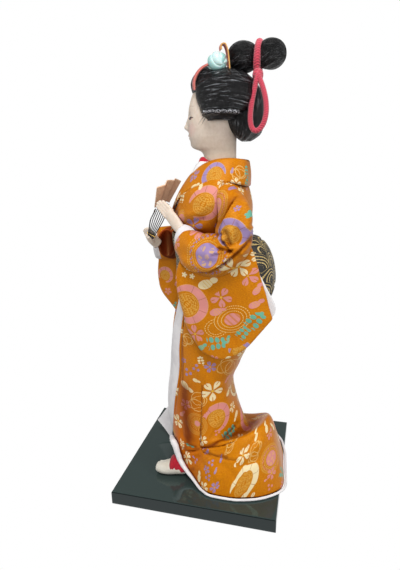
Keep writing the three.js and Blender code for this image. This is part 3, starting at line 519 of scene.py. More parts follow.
class Look:
    """A material whose Principled shader is fed by arithmetic."""

    def __init__(self, name, base, rough, **plain):
        self.material = bpy.data.materials.new(name)
        self.material.use_nodes = True
        self.tree = self.material.node_tree
        self.shader = self.tree.nodes["Principled BSDF"]
        self.set("Base Color", colour(base))
        self.set("Roughness", rough)
        for key, value in plain.items():
            self.set(key.replace("_", " "), value)

    def set(self, socket, value):
        self.shader.inputs[socket].default_value = value

    def uv(self, name="cloth"):
        node = self.tree.nodes.new("ShaderNodeUVMap")
        node.uv_map = name
        split = self.tree.nodes.new("ShaderNodeSeparateXYZ")
        self.tree.links.new(node.outputs[0], split.inputs[0])
        return Wire(self.tree, split.outputs[0]), Wire(self.tree, split.outputs[1])

    def place(self):
        """The point on the object in millimetres."""
        node = self.tree.nodes.new("ShaderNodeTexCoord")
        split = self.tree.nodes.new("ShaderNodeSeparateXYZ")
        self.tree.links.new(node.outputs["Object"], split.inputs[0])
        return [Wire(self.tree, split.outputs[k]) * 1000 for k in range(3)]

    def vector(self, x, y, z=0.0):
        node = self.tree.nodes.new("ShaderNodeCombineXYZ")
        for socket, value in zip(node.inputs, (x, y, z)):
            if isinstance(value, Wire):
                self.tree.links.new(value.socket, socket)
            else:
                socket.default_value = value
        return node.outputs[0]

    def noise(self, vector, scale, detail=3.0, rough=0.55):
        node = self.tree.nodes.new("ShaderNodeTexNoise")
        self.tree.links.new(vector, node.inputs["Vector"])
        node.inputs["Scale"].default_value = scale
        node.inputs["Detail"].default_value = detail
        node.inputs["Roughness"].default_value = rough
        return Wire(self.tree, node.outputs["Fac"])

    def occlusion(self, distance):
        """1 deep in a crease or a gap, 0 in the open."""
        node = self.tree.nodes.new("ShaderNodeAmbientOcclusion")
        node.samples = 8
        node.inputs["Distance"].default_value = distance * MM
        return Wire(self.tree, node.outputs["AO"]).ramp(0.88, 0.3)

    def multiply(self, a, b):
        socket = self.mix(1.0, a, b)
        socket.node.blend_type = "MULTIPLY"
        return socket

    def mix(self, factor, a, b):
        """Colour a where the factor is 0 and colour b where it is 1. Both may be hex text."""
        node = self.tree.nodes.new("ShaderNodeMix")
        node.data_type = "RGBA"
        for socket, value in zip((node.inputs[0], node.inputs[6], node.inputs[7]), (factor, a, b)):
            if isinstance(value, Wire):
                self.tree.links.new(value.socket, socket)
            elif isinstance(value, bpy.types.NodeSocket):
                self.tree.links.new(value, socket)
            elif isinstance(value, str):
                socket.default_value = colour(value)
            else:
                socket.default_value = value
        return node.outputs[2]

    def link(self, value, socket):
        self.tree.links.new(value.socket if isinstance(value, Wire) else value, self.shader.inputs[socket])

    def bump(self, height, distance, strength=1.0):
        node = self.tree.nodes.new("ShaderNodeBump")
        node.inputs["Strength"].default_value = strength
        node.inputs["Distance"].default_value = distance * MM
        self.tree.links.new(height.socket, node.inputs["Height"])
        self.tree.links.new(node.outputs["Normal"], self.shader.inputs["Normal"])


def plain_cloth(name, base, shade, rough=0.85, weave=0.45, sheen=0.2):
    """Plain woven cloth: two crossing sets of threads and a little unevenness."""
    look = Look(name, base, rough)
    look.set("Sheen Weight", sheen)
    look.set("Specular IOR Level", 0.25)
    x, y, z = look.place()
    across = (x * (TAU / weave)).sin() + (y * (TAU / weave)).sin()
    threads = across * 0.25 + (z * (TAU / weave)).sin() * 0.5
    cloudy = look.noise(look.vector(x * 0.06, y * 0.06, z * 0.06), 2.0)
    look.link(look.mix(cloudy.ramp(0.35, 0.75), base, shade), "Base Color")
    look.bump(threads * 0.5 + look.noise(look.vector(x, y, z), 0.8) * 0.8, 0.12, 0.6)
    return look.material


def strands(name, base="#0b0b0c"):
    """Hair laid in strands that run along the UV map's first direction, with painted highlights in light grey
    along its glossy streaks.
    """
    look = Look(name, base, 0.2, IOR=1.9)
    u, v = look.uv()
    fine = look.noise(look.vector(u * 0.1, v), 1.1, 4.0, 0.75)
    broad = look.noise(look.vector(u * 0.05, v, 4.0), 0.5, 2.0)
    patchy = look.noise(look.vector(u * 0.12, v * 0.12, 2.0), 1.0, 3.0)
    # Streaks of gloss along the strands: their specular level is raised, and their base colour is painted
    # light grey as a painted highlight over the near-black hair
    gloss_and_painted_highlight = fine.ramp(0.52, 0.68) * patchy.ramp(0.32, 0.62)
    look.link(look.mix(gloss_and_painted_highlight, "#030304", "#565a60"), "Base Color")
    look.link(gloss_and_painted_highlight * 0.85 + 0.1, "Specular IOR Level")
    look.link((fine * 0.14 + patchy * 0.16) + 0.08, "Roughness")
    look.bump(fine + broad * 0.9, 1.5)
    return look.material


PINK, CREAM, LAVENDER, TURQUOISE = "#cf8682", "#e4d3a8", "#957fae", "#62a892"


def brocade():
    """Orange satin with woven motifs.

    UV maps say where each face lies in its motif. large and small hold the place in it, where 1 is
    its radius. large_kind and small_kind hold its kind, and its tint + its radius / 100.
    """
    look = Look("brocade", "#c57a10", 0.4)
    look.set("Specular IOR Level", 0.36)
    look.set("Specular Tint", (1.0, 0.6, 0.2, 1.0))
    u, v = look.uv()
    satin = look.noise(look.vector(u * 0.25, v), 3.0, 2.0)
    cloudy = look.noise(look.vector(u * 0.05, v * 0.05, 1.0), 1.2, 3.0)
    speckle = look.noise(look.vector(u, v, 3.0), 1.6, 2.0, 0.7)
    ground = look.mix(satin.ramp(0.3, 0.75), "#b26402", "#cb8005")
    ground = look.mix(speckle.ramp(0.5, 0.8) * 0.35, ground, "#8f4a06")
    ground = look.mix(cloudy.ramp(0.45, 0.75) * 0.35, ground, "#b05c04")
    x_place, y_place, z_place = look.place()
    # Painted shade: the skirt's front low down, towards -Y and below z 100, is painted a darker red-orange
    low_front_painted_shade = y_place.ramp(14.0, -12.0) * z_place.ramp(100.0, 48.0)
    ground = look.mix(low_front_painted_shade * 0.55, ground, "#a8430a")

    def tint_of(index):
        result = look.mix(index.near(1.0), PINK, CREAM)
        result = look.mix(index.near(2.0), result, LAVENDER)
        return look.mix(index.near(3.0), result, TURQUOISE)

    def motif(name):
        """Place in the motif, its kind and tint, and the width of a gold line in it."""
        x, y = look.uv(name)
        kind, code = look.uv(name + "_kind")
        tint = (code + 0.0005).floor()
        size = (code - tint) * 100
        return x, y, kind, tint, 0.24 / size.high(1.0)

    def oval(dx, dy, a, b):
        return hypot((x - dx) / a, (y - dy) / b)

    def lines(distance, width, *places):
        gap = (distance - places[0]).abs()
        for place in places[1:]:
            gap = gap.low((distance - place).abs())
        return gap < width

    x, y, kind, tint, line = motif("large")
    r, angle = hypot(x, y), y.angle(x)
    beads = (angle * 60).sin() > -0.4
    stipple = ((x * 31 + (y * 9).sin() * 2).sin() * (y * 31 + (x * 9).sin() * 2).sin()) > 0.25
    # Kind 1: a thick crescent in segments, round a gold stippled wheel
    reach = ((angle * 0.6).cos()).high(0.0).sqrt() * 0.2
    off_band = (r - 0.78).abs() - reach
    band = off_band < 0.0
    cuts = ((angle * (8 / TAU)).frac() - 0.5).abs() * r * (TAU / 8) < (line * 0.55)
    wheel = kind.near(1.0)
    hoops = lines(r, line * 1.4, 0.52, 0.42, 0.31, 0.2) * beads
    tinted = wheel * band
    rim = (off_band.abs() < (line * 0.9)) * (reach > 0.02) * beads
    gold = wheel * rim.high(hoops).high(stipple * (r < 0.5))
    dark = wheel * band * cuts
    # Kind 2: a large oval with a hatched heart, crossing a smaller one
    big, small_oval = oval(0.24, 0.02, 0.72, 0.52), oval(-0.5, -0.08, 0.44, 0.36)
    loops = kind.near(2.0)
    heart = (big < 0.46) * loops
    hatch = (x * 26 + y * 12).sin() > 0.45
    ovals = lines(big, line * 1.5, 1.0, 0.82, 0.62)
    ovals = ovals.high(lines(small_oval, line * 2.2, 1.0, 0.74) * (big > 1.0))
    tinted = tinted.high(heart * (1 - hatch * 0.6))
    gold = gold.high(loops * ovals * beads)
    # Kind 3: an arc in segments over curved gold rays
    arc = ((r - 0.88).abs() < 0.11) * (y > -0.5)
    arc_cuts = ((angle * (13 / TAU)).frac() - 0.5).abs() < 0.05
    rays = (((angle + r * 0.9) * (30 / TAU)).frac() - 0.5).abs() < 0.22
    sun = kind.near(3.0)
    tinted = tinted.high(sun * arc * (1 - arc_cuts))
    gold = gold.high(sun * rays * (r < 0.72) * (r > 0.2) * (y > -0.62))
    dark = dark.high(sun * (arc * arc_cuts).high(((r - 0.75).abs() < (line * 0.8)) * (y > -0.5)))
    tinted = tinted.high(sun * (hypot(x, y + 0.1) < 0.15))
    # Kind 4: a shell of gold rays and rings round a small heart
    shell = kind.near(4.0)
    fan = (((angle * (22 / TAU)).frac() - 0.5).abs() < 0.17) * (r > 0.3) * (r < 0.62)
    tinted = tinted.high(shell * (r < 0.24))
    gold = gold.high(shell * fan.high(lines(r, line * 1.3, 0.98, 0.86, 0.74, 0.27) * beads))
    # Kind 5: gold rings round a round heart with three blossoms
    disc = kind.near(5.0)
    spots = hypot(x - 0.24, y - 0.2) < 0.11
    for dx, dy in ((-0.14, 0.28), (-0.3, -0.1), (0.06, -0.04), (0.2, -0.3), (-0.12, -0.34)):
        spots = spots.high(hypot(x - dx, y - dy) < 0.11)
    tinted = tinted.high(disc * (r < 0.5)).high(disc * ((r - 0.78).abs() < 0.06) * stipple)
    spotted = spots * ((angle * 9 + r * 30).sin() > -0.5)
    gold = gold.high(disc * spotted.high(lines(r, line * 1.3, 0.98, 0.88, 0.68, 0.58) * beads))
    # Kind 6: thin gold loops
    thin = lines(oval(0, 0, 0.95, 0.5), line * 1.5, 1.0)
    thin = thin.high(lines(oval(0.2, 0.25, 0.6, 0.62), line * 2.0, 1.0))
    thin = thin.high(lines(oval(-0.3, -0.2, 0.45, 0.6), line * 2.4, 1.0))
    gold = gold.high(kind.near(6.0) * thin * beads)
    # Kind 7: the lining in the mouth of a sleeve, partly its own red and partly painted shade, darker than
    # the cloth round it and dark brown towards the mouth's bottom
    mouth_lining_and_shade = kind.near(7.0) * (oval(0, 0, 0.46, 0.98) < 1.0) * (x_place > -24.0)
    ground = look.mix(mouth_lining_and_shade, ground, look.mix(y.ramp(0.2, 1.0), "#5e200c", "#a03a10"))
    result = look.mix(tinted, ground, tint_of(tint))
    bright = kind.near(2.0).high(kind.near(6.0)) * gold
    result = look.mix(gold * 0.62, result, "#dcae50")
    result = look.mix(bright * 0.6, result, "#f0d58e")
    result = look.mix(dark * 0.8, result, "#8a4a14")
    raised = tinted.high(gold)

    x, y, kind, tint, line = motif("small")
    r, angle = hypot(x, y), y.angle(x)
    # Kind 1: a flower of five slender petals
    petal = ((angle * (5 / TAU)).frac() - 0.5).abs()
    slender = ((r - 0.14) * (1.02 - r) * 4.6).high(0.0).sqrt() * 0.36
    notch = (petal < 0.035) * (r > 0.62)
    flower = kind.near(1.0) * (petal < slender) * (1 - notch)
    heart = kind.near(1.0) * (r < 0.12)
    # Kind 2: a spray of leaves in pairs
    leaf = hypot(((x * 1.7 + 0.2).frac() - 0.5) / 0.4, (y.abs() - 0.36 + x * 0.12) / 0.3) < 1.0
    tip = hypot((x - 0.86) / 0.24, y / 0.2) < 1.0
    leaves = kind.near(2.0) * (leaf * (x.abs() < 0.9)).high(tip)
    # Kind 3: three buds
    def bud(dx, dy):
        bulge = ((y - dy).angle(x - dx) * 2.5).cos().abs() * 0.2 + 0.14
        return (hypot(x - dx, y - dy) - bulge) < 0.0

    buds = kind.near(3.0) * bud(-0.5, -0.3).high(bud(0.4, -0.45)).high(bud(0.05, 0.5))
    # Kind 4: a hatched pod
    pod = (oval(-0.25, 0.0, 0.68, 0.42) < 1.0).high(oval(0.6, 0.12, 0.38, 0.27) < 1.0)
    pods = kind.near(4.0) * pod
    small = flower.high(leaves).high(buds).high(pods)
    threads_in = pods * ((x * 22 + y * 9).sin() > 0.6) * (r < 0.5)
    result = look.mix(small, result, tint_of(tint))
    result = look.mix(heart.high(threads_in * 0.6), result, "#d9a93c")
    # Painted shade: the colour is darkened towards red-brown in creases and gaps, from ambient occlusion and
    # from the crease lines stored by weave in the UV map crease
    shade, _ = look.uv("crease")
    crease = look.occlusion(14.0).high(shade)
    result = look.mix(crease * 0.85, result, look.multiply(result, "#7a2a10"))
    raised = raised.high(small)
    look.link(result, "Base Color")
    look.link((raised * 0.14) + 0.38, "Roughness")
    threads = (v * (TAU / 0.5)).sin() * 0.15 + (u * (TAU / 0.5)).sin() * raised * 0.35
    look.bump(threads + raised * 0.6 + satin * 0.25, 0.14, 0.7)
    return look.material


def sash_cloth():
    """Black weave with gold arcs in overlapping rounds."""
    look = Look("sash", "#15130f", 0.55)
    u, v = look.uv()
    wide, high = 13.0, 9.0
    row = (v / high).floor()
    shifted = u / wide + row * 0.5
    x, y = (shifted.frac() - 0.5) * wide, ((v / high).frac() - 0.1) * high
    r = hypot(x, y)
    arcs = (((r / 1.9).frac() - 0.5).abs() < 0.17) * (r < 8.4) * (r > 1.2)
    thread = look.noise(look.vector(u, v), 3.0) > 0.42
    gold = arcs * thread
    look.link(look.mix(gold, "#15130f", "#c2a869"), "Base Color")
    look.link(gold * -0.15 + 0.6, "Roughness")
    look.bump(gold * 0.8 + (v * (TAU / 0.6)).sin() * 0.2, 0.15, 0.7)
    return look.material


def painted(look, base):
    """The painted face over its base colour: cheeks, eyes, brows, lips and stray hair, with painted shade
    that darkens and browns the neck below the jaw.
    """
    u, v = look.uv()
    side = u.abs()
    cheek = 1 - hypot((side - 9.5) / 7.0, (v - 246.5) / 6.5).ramp(0.15, 1.0)
    base = look.mix(cheek * 0.45, base, "#dcb0a8")
    a = (side - 9.2) / 3.6
    lid = (v - 253.3) - (0.5 - a * a * 0.5) + (side - 9.2) * 0.04
    inside = a.abs() < 1.0
    upper = inside * (lid.abs() < (0.42 - a.abs() * 0.24))
    white_of = inside * (lid < 0.0) * (((v - 253.2) + (0.9 - a * a * 0.9)) > 0.0)
    iris = white_of * ((side - 8.4).abs() < 1.5)
    corner = white_of * ((side - 10.9).abs() < 0.9)
    wisps = 0.0 * side
    for top, low, lean in ((21.0, 248.6, 0.8), (22.2, 247.6, 0.6), (23.4, 249.4, 0.4)):
        stray = side - top + (254.5 - v) * lean
        wisps = wisps.high((stray.abs() < ((v - low) * 0.05)) * (v > low) * (v < 256.0))
    arch = 0.7 - ((side - 9.4) / 3.8).power(2.0) * 0.7
    brow = (((v - 259.4) - arch).abs() < 0.3) * ((side - 9.4).abs() < 3.2)
    m = side / 3.0
    upper_lip = (m < 1.0) * (v < (243.8 - m * m * 0.7)) * (v > 242.5)
    lower_lip = (m < 0.8) * (v < 242.5) * (v > (241.3 + m * m * 0.8))
    for amount, tone in (
        (white_of * 0.4, "#d9cec6"),
        (corner * 0.6, "#8a3a34"),
        (iris, "#1a1412"),
        (wisps * 0.85, "#191513"),
        (upper, "#2a1b18"),
        (brow * 0.2, "#5a4a44"),
        (upper_lip.high(lower_lip) * 0.7, "#c2605c"),
        # Painted shade: darker and browner down the neck, below the jaw
        (v.ramp(246.0, 226.0) * 0.5, "#c2ae92"),
    ):
        base = look.mix(amount, base, tone)
    return base


def skin(features=False):
    look = Look("face" if features else "skin", "#d5c6b4", 0.5)
    look.set("Subsurface Weight", 0.08)
    look.set("Subsurface Scale", 0.002)
    look.set("Subsurface Radius", (1.0, 0.5, 0.3))
    x, y, z = look.place()
    grain = look.noise(look.vector(x, y, z), 0.5, 4.0)
    base = look.mix(grain.ramp(0.3, 0.8), "#d8c8b8", "#cdbba8")
    if features:
        base = painted(look, base)
    look.link(base, "Base Color")
    look.bump(grain, 0.05, 0.5)
    return look.material


def lacquer():
    look = Look("lacquer", "#07090a", 0.06)
    look.set("Specular Tint", (0.82, 1.0, 1.0, 1.0))
    x, y, z = look.place()
    orange_peel = look.noise(look.vector(x, y, z), 0.12, 2.0)
    dust = look.noise(look.vector(x, y, z), 1.2, 5.0, 0.7)
    # Painted reflection: the top face, above z 9.6 to 9.9, is painted a lighter grey-green than the
    # near-black sides
    base = look.mix(z.ramp(9.6, 9.9), "#070b0c", "#2e3937")
    look.link(look.mix(dust.ramp(0.62, 0.8), base, "#2a3433"), "Base Color")
    look.link(dust.ramp(0.6, 0.85) * 0.12 + 0.05, "Roughness")
    look.bump(orange_peel, 0.1, 0.15)
    return look.material


def cord_knit(name, base, shade, pitch=1.7):
    look = Look(name, base, 0.8)
    look.set("Sheen Weight", 0.4)
    u, v = look.uv()
    stitch = ((u + (v * 1.4).sin() * 0.45) * (TAU / pitch)).sin()
    fuzz = look.noise(look.vector(u, v), 3.0, 3.0)
    # Painted shade: the dips between stitches, low in the bump, take the darker colour shade; a little random
    # fuzz mixes in too
    look.link(look.mix(stitch.ramp(-0.9, 0.3) * 0.8 + fuzz * 0.2, shade, base), "Base Color")
    look.bump(stitch * 0.6 + fuzz * 0.5, 0.3, 0.8)
    return look.material


def ribbon(name, base, edge, width):
    look = Look(name, base, 0.45)
    look.set("Sheen Weight", 0.3)
    u, v = look.uv()
    look.link(look.mix(u > width, base, edge), "Base Color")
    look.bump((u * (TAU / 0.5)).sin() * 0.4 + (v * (TAU / 0.6)).sin() * 0.3, 0.08, 0.6)
    return look.material


def grained(look, noise, ramp, tones, *bump):
    """Gives a look one fine grain in two tones, raised as bump says, and returns the grain."""
    x, y, z = look.place()
    grain = look.noise(look.vector(x, y, z), *noise)
    look.link(look.mix(grain.ramp(*ramp), *tones), "Base Color")
    if bump:
        look.bump(grain, *bump)
    return grain


def glitter():
    look = Look("glitter", "#6e6e74", 0.35, Metallic=0.6)
    sparks = grained(look, (1.5, 3.0, 0.8), (0.52, 0.6), ("#060608", "#e4e4ea"), 0.4)
    look.link(sparks.ramp(0.4, 0.7) * -0.4 + 0.6, "Roughness")
    return look.material


def fan_paper():
    look = Look("fan paper", "#b99576", 0.75)
    grained(look, (0.6, 5.0, 0.7), (0.3, 0.8), ("#eac6a6", "#d2a886"), 0.12, 0.6)
    return look.material


def satin_black():
    look = Look("fan sticks", "#0c0c0d", 0.35)
    x, y, z = look.place()
    grain = look.noise(look.vector(x * 3, y * 3, z * 0.4), 1.5, 3.0)
    look.link(look.mix(grain.ramp(0.4, 0.7), "#0b0b0c", "#1a1816"), "Base Color")
    look.bump(grain, 0.05, 0.4)
    return look.material


def brass():
    look = Look("brass", "#b08d45", 0.3, Metallic=1.0)
    rub = grained(look, (2.0,), (0.3, 0.8), ("#b8954c", "#8d6c2e"))
    look.link(rub * 0.3 + 0.2, "Roughness")
    return look.material


def swirl():
    look = Look("flower", "#b6ddd8", 0.35)
    look.set("Subsurface Weight", 0.15)
    look.set("Subsurface Scale", 0.002)
    u, v = look.uv()
    streak = (u * TAU).cos() * 0.5 + 0.5
    look.link(look.mix(streak.ramp(0.0, 0.5), "#8fbab6", "#c0dcd9"), "Base Color")
    look.bump(look.noise(look.vector(u, v), 4.0), 0.05, 0.4)
    return look.material


FACE_LOOK = skin(True)
SKIN = skin()
HAIR = strands("hair")
CORD = cord_knit("hair cord", "#d2364f", "#9c2038", 1.3)
BROCADE = brocade()
SASH = sash_cloth()
WHITE = plain_cloth("white cloth", "#dedbdb", "#d0cbcc")
RED = plain_cloth("red cloth", "#b3142a", "#8f0f20")
SOCK = plain_cloth("sock", "#cfcabe", "#c0b8a8", weave=0.35)


def coat(node, material):
    """Gives a CAD node its finish."""
    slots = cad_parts[node].data.materials
    slots.clear()
    slots.append(material)


coat("plinth", lacquer())

# Head: [z, centre y, half width, front depth, back depth]
HEAD = [
    [276, 13, 7, 9, 8],
    [270, 12, 12.5, 17, 13],
    [262, 11.5, 14.5, 20, 14],
    [254, 11, 15, 20.8, 12.5],
    [248, 10.5, 14.6, 20.3, 11.5],
    [242, 10, 13.3, 19.2, 11],
    [238.4, 9.6, 11.9, 17.6, 11.2],
    [235.6, 9.6, 10.7, 16, 11.2],
    [233.6, 9.8, 9.8, 11.6, 11],
    [231, 10, 9.2, 10, 10.8],
    [224, 10.4, 8.8, 10.6, 10.4],
    [217, 10.2, 10.6, 14.4, 10.4],
    [210, 9.2, 13.6, 21.6, 10.6],
    [203, 8, 15, 25.6, 10.6],
]


HEAD_ROWS, HEAD_SIDES = 200, 171
HEAD_TOP, HEAD_BOTTOM = [0, 12.5, 277.5], [0, 4, 202.6]
FACE_RADIUS = 16.5


def head_grid():
    """The head and neck, with the nose, eye sockets, lips and chin raised at their heights."""
    angle = np.linspace(-math.pi, math.pi, HEAD_SIDES)[None, :]
    z = np.linspace(HEAD[0][0], HEAD[-1][0], HEAD_ROWS)[:, None]
    row = np.broadcast_to(at(HEAD, z[:, 0])[:, None, :], (HEAD_ROWS, HEAD_SIDES, 5)).copy()
    row[..., 0] = z
    off = np.arctan2(np.sin(angle), np.cos(angle)) + 0 * z
    away = np.abs(off)
    nose = 2.7 * bump(off, 0, 0.13) * (bump(z, 248.3, 2.0) + 0.5 * bump(z, 251.4, 2.6))
    nostrils = 0.6 * bump(away, 0.15, 0.06) * bump(z, 247.3, 1.1)
    socket = -0.9 * bump(away, 0.4, 0.2) * bump(z, 254.4, 2.4)
    lips = (0.85 * bump(z, 243.4, 0.8) + 0.6 * bump(z, 241.6, 0.8)) * bump(off, 0, 0.19)
    parting = -0.5 * bump(z, 242.5, 0.28) * bump(off, 0, 0.17)
    chin = 0.9 * bump(off, 0, 0.35) * bump(z, 237.4, 2)
    lid = 0.35 * bump(away, 0.42, 0.16) * bump(z, 253.4, 1.0)
    row[..., 3] += nose + nostrils + socket + lips + parting + chin + lid
    P = girth(row, angle + 0 * z)
    uv = np.stack([off * FACE_RADIUS, z + 0 * off], -1)
    ends = [np.broadcast_to(np.array(e, float), (1, HEAD_SIDES, 3)) for e in (HEAD_TOP, HEAD_BOTTOM)]
    return np.concatenate([ends[0], P, ends[1]], 0), np.concatenate([uv[:1], uv, uv[-1:]], 0)


piece("head", [closed(*head_grid())], FACE_LOOK)

# Hair lobes: [z, front y, back y, inner x, outer x]
LOBE = [
    [280.6, 9, 21, -3, 8],
    [278.4, 4.6, 25.6, -5, 13],
    [275, 0.8, 30, -6, 17],
    [270, -2.4, 33.2, -7, 20],
    [264, -1.8, 34, -7, 21.8],
    [257, 0.6, 31, -6, 22],
    [254, 2.4, 27.4, -4.6, 21.6],
    [252.4, 4, 25, -3, 19.6],
    [250.6, 5, 23, 0, 18.4],
]
NAPE = [
    [277, 20, 28, -6, 6],
    [273, 17, 32.6, -10, 10],
    [267, 15, 36.4, -12.6, 12.6],
    [260, 13.6, 38.2, -13.6, 13.6],
    [252, 12.6, 38.2, -14, 14],
    [247, 16, 37.4, -13.6, 13.6],
    [243, 19.6, 35.6, -12, 12],
    [240.4, 22.4, 32, -9.4, 9.4],
    [239.2, 24.6, 29.6, -6, 6],
]


def signed_power(c, p):
    return np.sign(c) * np.abs(c) ** p


def lobe_point(row, angle):
    """A point on the outline of a lobe, at one height."""
    x = (row[..., 3] + row[..., 4]) / 2 + (row[..., 4] - row[..., 3]) / 2 * signed_power(np.sin(angle), 0.82)
    y = (row[..., 1] + row[..., 2]) / 2 - (row[..., 2] - row[..., 1]) / 2 * signed_power(np.cos(angle), 0.82)
    return x, y


def lobe_grid(rows, strand, seed, around=140, down=165, rim=0.0):
    """A lobe of hair in strands, with a raised rim over its lower edge."""

    def place(angle, t):
        row = along(rows, t[:, 0])[:, None, :]
        x, y = lobe_point(row, angle)
        return np.stack([x, y, row[..., 0] + 0 * x], -1)

    first, last = rows[0], rows[-1]
    top = [(first[3] + first[4]) / 2, (first[1] + first[2]) / 2, first[0] + 0.6]
    low = [(last[3] + last[4]) / 2, (last[1] + last[2]) / 2, last[0] - 0.3]
    P = rings(place, around, down, top, low)
    uv = strand(P)
    drawn = uv * np.array([0.05, 1])
    depth = ripple(drawn, 1.8, seed) * 0.22 + ripple(drawn, 4.5, seed + 1) * 0.25
    depth += rim * (bump(P[..., 2], 254, 0.55) + 0.4 * bump(P[..., 2], 255.6, 0.5))
    depth[[0, -1]] = 0
    return P + outward(P) * depth[..., None], uv


def side_strands(P):
    """Strands run round the lobe, arched a little between its front and its back."""
    arch = 0.010 * (P[..., 1] - 16) ** 2
    return np.stack([P[..., 1] + P[..., 0] * 0.6, P[..., 2] + arch], -1)


def nape_strands(P):
    """Strands fall down the lobe and draw together at the bottom."""
    swing = np.arctan2(P[..., 0], P[..., 1] - 20) * 14
    return np.stack([P[..., 2], swing], -1)


for name, side, seed in (("hair_left", 1, 3), ("hair_right", -1, 5)):
    lobe, strand_uv = lobe_grid(LOBE, side_strands, seed, rim=0.6)
    piece(name, [closed(lobe * np.array([side, 1, 1]), strand_uv)], HAIR)
piece("hair_back", [closed(*lobe_grid(NAPE, nape_strands, 8, 220, 120))], HAIR)


def ball_grid(centre, radii, swell, strand, seed, around=140, down=100, depth=0.16, upright=False):
    """A ball of strands. Its poles lie front and back, or above and below where it is upright."""
    a = np.linspace(0, TAU, around + 1)[None, :]
    b = np.linspace(0, math.pi, down + 1)[:, None]
    d = np.stack([np.sin(a) * np.sin(b), -np.cos(a) * np.sin(b), np.cos(b) + 0 * a], -1)
    if not upright:
        d = np.stack([d[..., 0], d[..., 2], -d[..., 1]], -1)
    P = np.asarray(centre) + np.asarray(radii) * d * swell(d)[..., None]
    uv = strand(P, a + 0 * b, b + 0 * a)
    fade = np.minimum(np.sin(b) * 3, 1)
    bumps = ripple(np.stack([uv[..., 0] * 0.05, uv[..., 1]], -1), 1.6, seed) * depth * fade
    P = P + unit(d / np.asarray(radii)) * bumps[..., None]
    P[0], P[-1] = P[0].mean(0), P[-1].mean(0)
    return P, uv


def swept(P, a, b):
    """Strands swept back from the forehead."""
    return np.stack([b * 12, a * 13 + b * 2], -1)


def wound(P, a, b):
    """Strands wound round the ball."""
    return np.stack([b * 9, a * 9 + np.sin(b * 1.5) * 4], -1)


def swollen(amount, end):
    """The size of a ball that swells towards its end at the front (1) or at the back (-1)."""
    return lambda d: 1 + amount * bump(-d[..., 1], end, 0.5)


for name, *shape in (
    ("hair_front", [0, 6.4, 272.6], [13.4, 13.8, 10.6], swollen(0, 1), swept, 11),
    ("topknot_front", [0, 24.4, 286.7], [9.6, 9.2, 9], swollen(0.1, -1), wound, 21),
    ("topknot_rear", [0, 41.8, 287.4], [9, 8.7, 8.4], swollen(0.08, 1), wound, 23),
):
    piece(name, [closed(*ball_grid(*shape))], HAIR)

# Hair cord: a ring round the pinch of the topknot, a knot and a hanging loop
CORD_RADIUS = 1.35


def ring_line(t):
    """The middle of the ring round the topknot."""
    return np.stack([6.4 * np.sin(t * TAU), 34.2 + 0.6 * np.cos(t * TAU), 285.4 + 8.6 * np.cos(t * TAU)], -1)


def loop_line(t):
    """The middle of the hanging loop, which is narrow at its top."""
    s, low = np.sin(t * TAU), (1 - np.cos(t * TAU)) / 2
    middle = 35.2 + 4.8 * low * (1 - low)
    return np.stack([lerp(10.4, 15.6, low**0.6), middle + 6 * s * low**0.55, lerp(275, 243.8, low)], -1)


def knit(amount):
    """A cord's swelling from stitch to stitch, in millimetres."""
    return lambda length, angle: amount * np.abs(np.sin(length * TAU / 2.2 + np.sin(angle * 3) * 1.1))


ring_part = hoop_grid(ring_line, CORD_RADIUS + 0.65, [0, 1, 0], 220, 24, knit(0.22))
loop_part = hoop_grid(loop_line, CORD_RADIUS + 0.05, [1, 0, 0], 380, 22, knit(0.18))
knot_part = ball_grid(
    [7, 34.8, 275.2],
    [3.2, 2.9, 3.6],
    lambda d: 1 + 0.12 * np.abs(np.sin(3 * np.arctan2(d[..., 0], d[..., 2]) + 5 * d[..., 1])),
    lambda P, a, b: np.stack([b * 3.5, a * 3], -1),
    seed=31,
    around=60,
    down=40,
    depth=0.05,
    upright=True,
)
piece("hair_cord", [torus(*ring_part), torus(*loop_part), closed(*knot_part)], CORD)


# Flower
def swirl_grid():
    """Soft petals swirled round a heart that looks out and up."""
    a = np.linspace(0, TAU, 151)[None, :]
    b = np.linspace(0, math.pi, 91)[:, None]
    d = np.stack([np.cos(b) + 0 * a, -np.sin(a) * np.sin(b), np.cos(a) * np.sin(b)], -1)
    turn = a + 0.9 * b
    petal = np.abs(np.cos(2.5 * turn)) ** 0.55
    k = 0.86 + 0.18 * petal * np.sin(b) ** 0.7 + 0.05 * np.cos(b)
    heart = unit(np.array([0.55, 0.75, -0.3]))
    side = unit(np.cross(heart, [0, 0, 1]))
    axes = np.stack([heart, side, np.cross(heart, side)])
    P = np.array([8.5, 10.8, 283.4]) + np.array([4.6, 6.1, 5.7]) * (d @ axes) * k[..., None]
    return P, np.stack([turn * 0.5 / TAU * 5, b * 4 + 0 * a], -1)


piece("hair_flower", [closed(*swirl_grid())], swirl())

# Ribbons: how far they bulge along their middle
BELLY = 0.4


def strip(middle, low, high, thickness):
    """A ribbon along a line, between two offsets from it. UVs run 0 to 1 across and in millimetres along."""
    t = np.linspace(0, 1, 70)
    a, b = (along(np.array(middle) + edge, t) for edge in (low, high))
    s = np.linspace(0, 1, 14)
    P = lerp(a[:, None], b[:, None], s[None, :, None])
    P = P + grid_normals(P, False) * (BELLY * np.sin(s * math.pi))[None, :, None]
    uv = np.stack(np.broadcast_arrays(s[None, :], run(a)[:, None]), -1)
    return cloth(P, thickness, uv)


